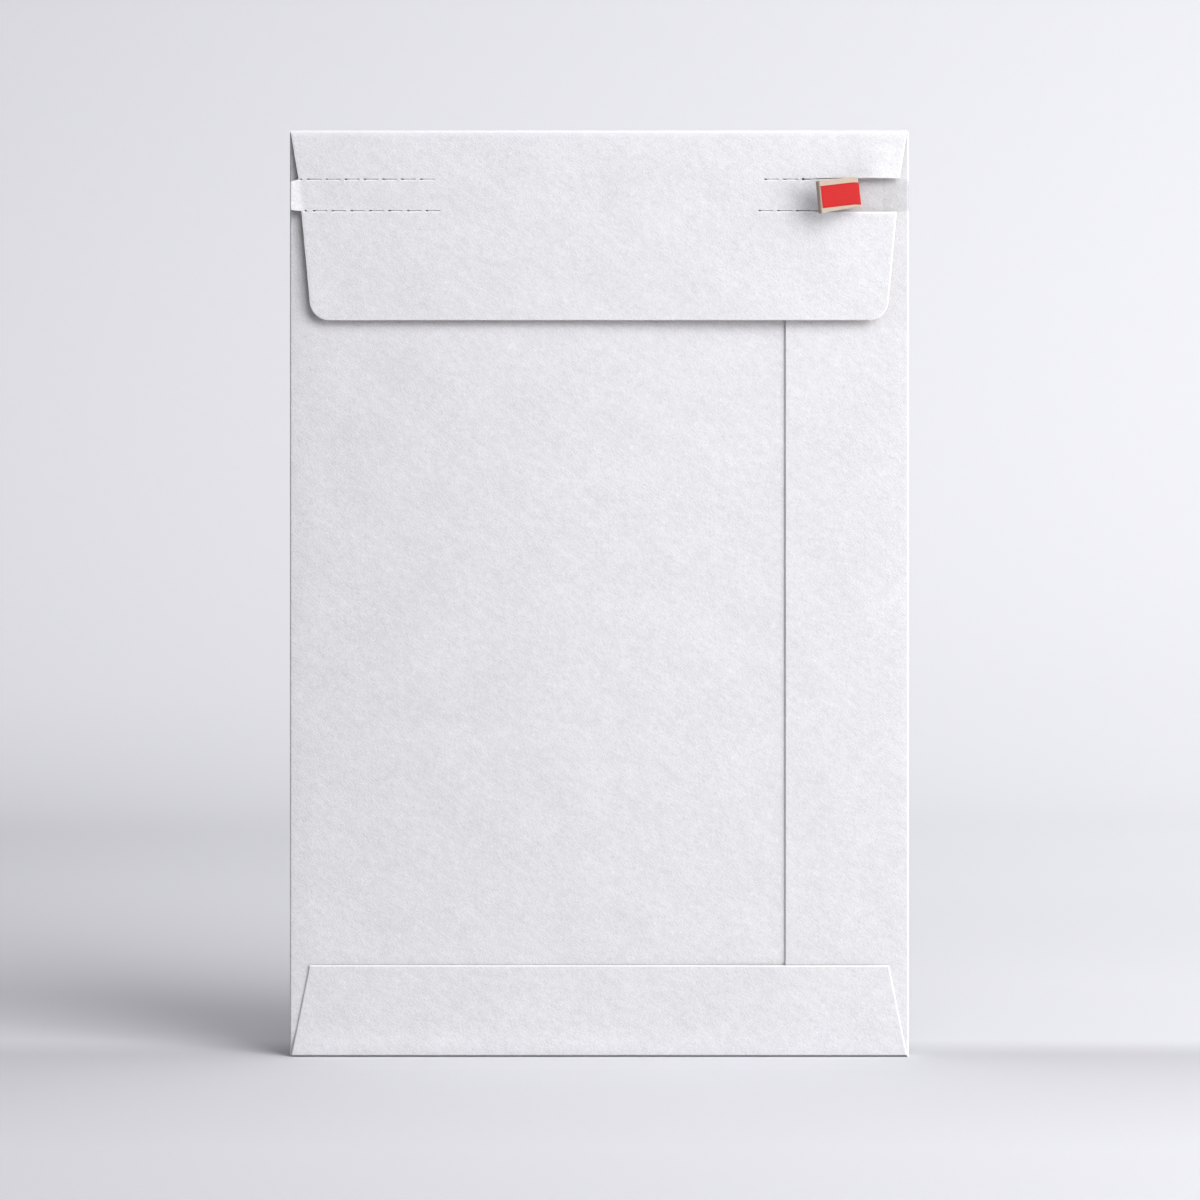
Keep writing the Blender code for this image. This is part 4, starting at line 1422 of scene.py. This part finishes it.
def make_films(strip):
    """The glue of both seams, the seal adhesive and its liner."""
    glue = adhesive_look(strip)
    low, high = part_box("side_seam_glue")
    columns = spaced(on_left_panel(low.x), on_left_panel(high.x), 0.002)
    rows = spaced(low.z, high.z, 0.02)
    near = HALF_BOARD + 0.00005
    glue_sheet("seam_glue", columns, rows, near + SEAM_FILM, near, place_on_pouch, "pouch", "side_seam_glue", glue)
    low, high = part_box("bottom_flap_glue")
    top = BASE_START + (BOTTOM_FLAP_Z - high.z)
    columns, rows = spaced(-high.x, -low.x, 0.006), spaced(top, top + high.z - low.z, 0.003)
    near = -HALF_BOARD - FILM_GAP
    far = near - BOTTOM_FILM
    glue_sheet("bottom_glue", columns, rows, near, far, place_on_pouch, "pouch", "bottom_flap_glue", glue)
    low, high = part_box("seal_adhesive")
    columns, rows = spaced(low.x, high.x, 0.006), spaced(low.z, high.z, 0.003)
    far = near - SEAL_FILM
    glue_sheet("seal_film", columns, rows, near, far, place_on_flap, "closure_flap", "seal_adhesive", glue)
    low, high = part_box("release_liner")
    columns, rows = spaced(low.x, high.x, 0.006), spaced(low.z, high.z, 0.003)
    near -= LINER_DEPTH
    far = near - LINER
    look = liner_look(strip)
    glue_sheet(
        "liner_strip", columns, rows, near, far, place_on_flap, "closure_flap", "release_liner", look
    )


# Stage: floor and backdrop
SWEEP_FRONT = -4.0
SWEEP_FLAT = 1.35
SWEEP_RADIUS = 1.1
SWEEP_TOP = 4.0
SWEEP_HALF = 5.0
SWEEP_STEPS = 24

# Share of the backdrop's painted glow at each depth: none along the envelope's foot, a painted contact shade, and less
# in front of it
GLOW_DEPTHS = (-0.40, -0.22, -0.06, -0.006, 0.006, 0.045, 0.12, 0.26, 0.45, 0.80, 1.20, 1.80)
GLOW_LEVELS = (0.28, 0.34, 0.10, 0.0, 0.0, 0.52, 0.57, 0.69, 0.76, 0.93, 0.97, 1.0)

# The painted glow at the left and right, on the floor and on the backdrop, from one depth to the other: stronger at
# the right, a painted pool of light from that side
GLOW_HALF = 0.7
GLOW_TURN = (1.2, 1.8)
GLOW_LEFT = (0.32, 0.70)
GLOW_RIGHT = (1.72, 1.35)
GLOW_COLOUR = (0.95, 0.96, 1.0, 1)
AIR_COLOUR = (0.97, 0.975, 1.0, 1)


def make_sweep(stage):
    """Floor and backdrop in one curved sheet."""
    profile = [(y, 0.0) for y in spaced(SWEEP_FRONT, SWEEP_FLAT, 0.5)]
    for step in range(1, SWEEP_STEPS + 1):
        turn = QUARTER * step / SWEEP_STEPS
        profile.append((SWEEP_FLAT + SWEEP_RADIUS * math.sin(turn), SWEEP_RADIUS * (1 - math.cos(turn))))
    profile.append((SWEEP_FLAT + SWEEP_RADIUS, SWEEP_TOP))
    built = bmesh.new()
    columns = spaced(-SWEEP_HALF, SWEEP_HALF, 1.0)
    grid = [[built.verts.new((x, y, z)) for x in columns] for y, z in profile]
    for lower, upper in zip(grid, grid[1:]):
        for k in range(len(columns) - 1):
            built.faces.new((lower[k], lower[k + 1], upper[k + 1], upper[k])).smooth = True
    mesh = bpy.data.meshes.new("studio_sweep")
    built.to_mesh(mesh)
    built.free()
    look, tree, shader = start_look("studio_paper")
    place = node(tree, "ShaderNodeTexCoord").outputs["Object"]
    grain = node(tree, "ShaderNodeTexNoise", {"Vector": place, "Scale": 260.0, "Detail": 3.0})
    shade = value_range(tree, grain.outputs["Fac"], 0.3, 0.7, 0.995, 1.005)
    path = node(tree, "ShaderNodeLightPath")
    seen = path.outputs["Is Camera Ray"]
    for ray in ("Is Glossy Ray", "Is Transmission Ray"):
        seen = maths(tree, "MAXIMUM", seen, path.outputs[ray])
    paper = mixed(tree, seen, (*stage.bounce, 1), shaded(tree, stage.floor, shade))
    tree.links.new(paper, shader.inputs["Base Color"])
    shader.inputs["Roughness"].default_value = 0.95
    shader.inputs["Specular IOR Level"].default_value = 0.1
    shader.inputs["Emission Color"].default_value = GLOW_COLOUR
    spot = node(tree, "ShaderNodeSeparateXYZ", {0: place})
    front, back = GLOW_DEPTHS[0], GLOW_DEPTHS[-1]
    depth = value_range(tree, spot.outputs["Y"], front, back, 0.0, 1.0)
    curve = node(tree, "ShaderNodeValToRGB", {0: depth})
    stops = curve.color_ramp.elements
    while len(stops) < len(GLOW_DEPTHS):
        stops.new(1.0)
    for stop, along, level in zip(stops, GLOW_DEPTHS, GLOW_LEVELS):
        stop.position = (along - front) / (back - front)
        stop.color = (level, level, level, 1)
    left = value_range(tree, spot.outputs["Y"], *GLOW_TURN, *GLOW_LEFT)
    right = value_range(tree, spot.outputs["Y"], *GLOW_TURN, *GLOW_RIGHT)
    across = value_range(tree, spot.outputs["X"], -GLOW_HALF, GLOW_HALF, left, right)
    # Painted glow for camera rays, brighter at the right and none at the envelope's foot
    glow = product(tree, across, stage.glow, curve.outputs["Color"], seen)
    tree.links.new(glow, shader.inputs["Emission Strength"])
    mesh.materials.append(look)
    sweep = bpy.data.objects.new("studio_sweep", mesh)
    bpy.context.scene.collection.objects.link(sweep)


# Direction and softness of the broad light
KEY_AZIMUTH = math.radians(43)
KEY_HEIGHT = math.radians(30)
KEY_SPREAD = math.radians(38)

# Place, aim and size of the lamps
NEAR_LIGHT = ((1.0, -0.5, 0.4), (0, 0, 0.2), 0.8)
TOP_LIGHT = ((0.3, -0.8, 1.3), (0, 0, 0.3), 1.0)


def key_light(strength):
    """A broad soft light from far off at the front right."""
    light = bpy.data.lights.new("key_light", "SUN")
    light.energy = strength
    light.angle = KEY_SPREAD
    level = math.cos(KEY_HEIGHT)
    towards = Vector((math.sin(KEY_AZIMUTH) * level, -math.cos(KEY_AZIMUTH) * level, math.sin(KEY_HEIGHT)))
    lamp = bpy.data.objects.new("key_light", light)
    lamp.rotation_euler = towards.to_track_quat("Z", "Y").to_euler()
    bpy.context.scene.collection.objects.link(lamp)


def area_light(name, place, aim, size, power):
    light = bpy.data.lights.new(name, "AREA")
    light.shape = "DISK"
    light.size = size
    light.energy = power
    lamp = bpy.data.objects.new(name, light)
    lamp.location = place
    lamp.rotation_euler = (Vector(aim) - Vector(place)).to_track_quat("-Z", "Y").to_euler()
    lamp.visible_camera = False
    bpy.context.scene.collection.objects.link(lamp)


class ENVELOPE_OT_pouch(Operator):
    """Fold the pouch: address side, spines, back panels, base and bottom flap"""

    bl_idname = "envelope.pouch"
    bl_label = "Pouch"

    def execute(self, context):
        make_pouch(context.scene.envelope_board, board_looks(context))
        return {"FINISHED"}


class ENVELOPE_OT_closure(Operator):
    """Fold the top and the two bands of the closure flap"""

    bl_idname = "envelope.closure"
    bl_label = "Closure flap"

    def execute(self, context):
        board = context.scene.envelope_board
        looks = board_looks(context)
        make_top(board, looks)
        make_upper_band(board, looks)
        make_lower_band(board, looks)
        return {"FINISHED"}


class ENVELOPE_OT_strip(Operator):
    """Make the tear strip with its raised tab, torn stretch and folded tail"""

    bl_idname = "envelope.strip"
    bl_label = "Tear strip"

    def execute(self, context):
        make_strip(context.scene.envelope_board, board_looks(context))
        return {"FINISHED"}


class ENVELOPE_OT_tape(Operator):
    """Stick the red tear tape to the strip's inner face"""

    bl_idname = "envelope.tape"
    bl_label = "Tear tape"

    def execute(self, context):
        make_tape(context.scene.envelope_strip)
        return {"FINISHED"}


class ENVELOPE_OT_films(Operator):
    """Lay the glue of the seams, the seal adhesive and its liner"""

    bl_idname = "envelope.films"
    bl_label = "Glue and liner"

    def execute(self, context):
        make_films(context.scene.envelope_strip)
        return {"FINISHED"}


class ENVELOPE_OT_stage(Operator):
    """Set up the floor, the lights and the camera"""

    bl_idname = "envelope.stage"
    bl_label = "Stage"

    def execute(self, context):
        stage = context.scene.envelope_stage
        make_sweep(stage)
        key_light(stage.key_strength)
        area_light("near_light", *NEAR_LIGHT, stage.near_power)
        area_light("top_light", *TOP_LIGHT, stage.top_power)
        world = bpy.data.worlds.new("studio_air")
        context.scene.world = world
        world.use_nodes = True
        air = world.node_tree.nodes["Background"]
        air.inputs["Color"].default_value = AIR_COLOUR
        air.inputs["Strength"].default_value = stage.ambient
        camera = bpy.data.cameras.new("camera")
        camera.lens = LENS
        camera.sensor_width = SENSOR
        camera.clip_start = 0.01
        camera.clip_end = 50.0
        eye = bpy.data.objects.new("camera", camera)
        eye.location = CAMERA_PLACE
        eye.rotation_euler = (QUARTER, 0, 0)
        context.scene.collection.objects.link(eye)
        context.scene.camera = eye
        context.scene.view_settings.view_transform = "Standard"
        return {"FINISHED"}


class ENVELOPE_PT_panel(Panel):
    """Settings and steps of the envelope"""

    bl_idname = "ENVELOPE_PT_panel"
    bl_label = "Board Envelope"
    bl_space_type = "VIEW_3D"
    bl_region_type = "UI"
    bl_category = "Envelope"

    def draw(self, context):
        layout = self.layout
        scene = context.scene
        for title, settings in (
            ("Board", scene.envelope_board),
            ("Strip and glue", scene.envelope_strip),
            ("Stage", scene.envelope_stage),
        ):
            layout.label(text=title)
            for name in settings.__annotations__:
                layout.prop(settings, name)
        for operator in OPERATORS:
            layout.operator(operator.bl_idname)


SETTINGS = (
    ("envelope_board", BoardSettings),
    ("envelope_strip", StripSettings),
    ("envelope_stage", StageSettings),
)
OPERATORS = (
    ENVELOPE_OT_stage,
    ENVELOPE_OT_pouch,
    ENVELOPE_OT_closure,
    ENVELOPE_OT_strip,
    ENVELOPE_OT_tape,
    ENVELOPE_OT_films,
)


def register():
    for name, settings in SETTINGS:
        bpy.utils.register_class(settings)
        setattr(bpy.types.Scene, name, PointerProperty(type=settings))
    for operator in OPERATORS:
        bpy.utils.register_class(operator)
    bpy.utils.register_class(ENVELOPE_PT_panel)


def unregister():
    bpy.utils.unregister_class(ENVELOPE_PT_panel)
    for operator in reversed(OPERATORS):
        bpy.utils.unregister_class(operator)
    for name, settings in reversed(SETTINGS):
        delattr(bpy.types.Scene, name)
        bpy.utils.unregister_class(settings)


def main():
    register()
    bpy.ops.envelope.stage()
    bpy.ops.envelope.pouch()
    bpy.ops.envelope.closure()
    bpy.ops.envelope.strip()
    bpy.ops.envelope.tape()
    bpy.ops.envelope.films()


if __name__ == "__main__":
    main()
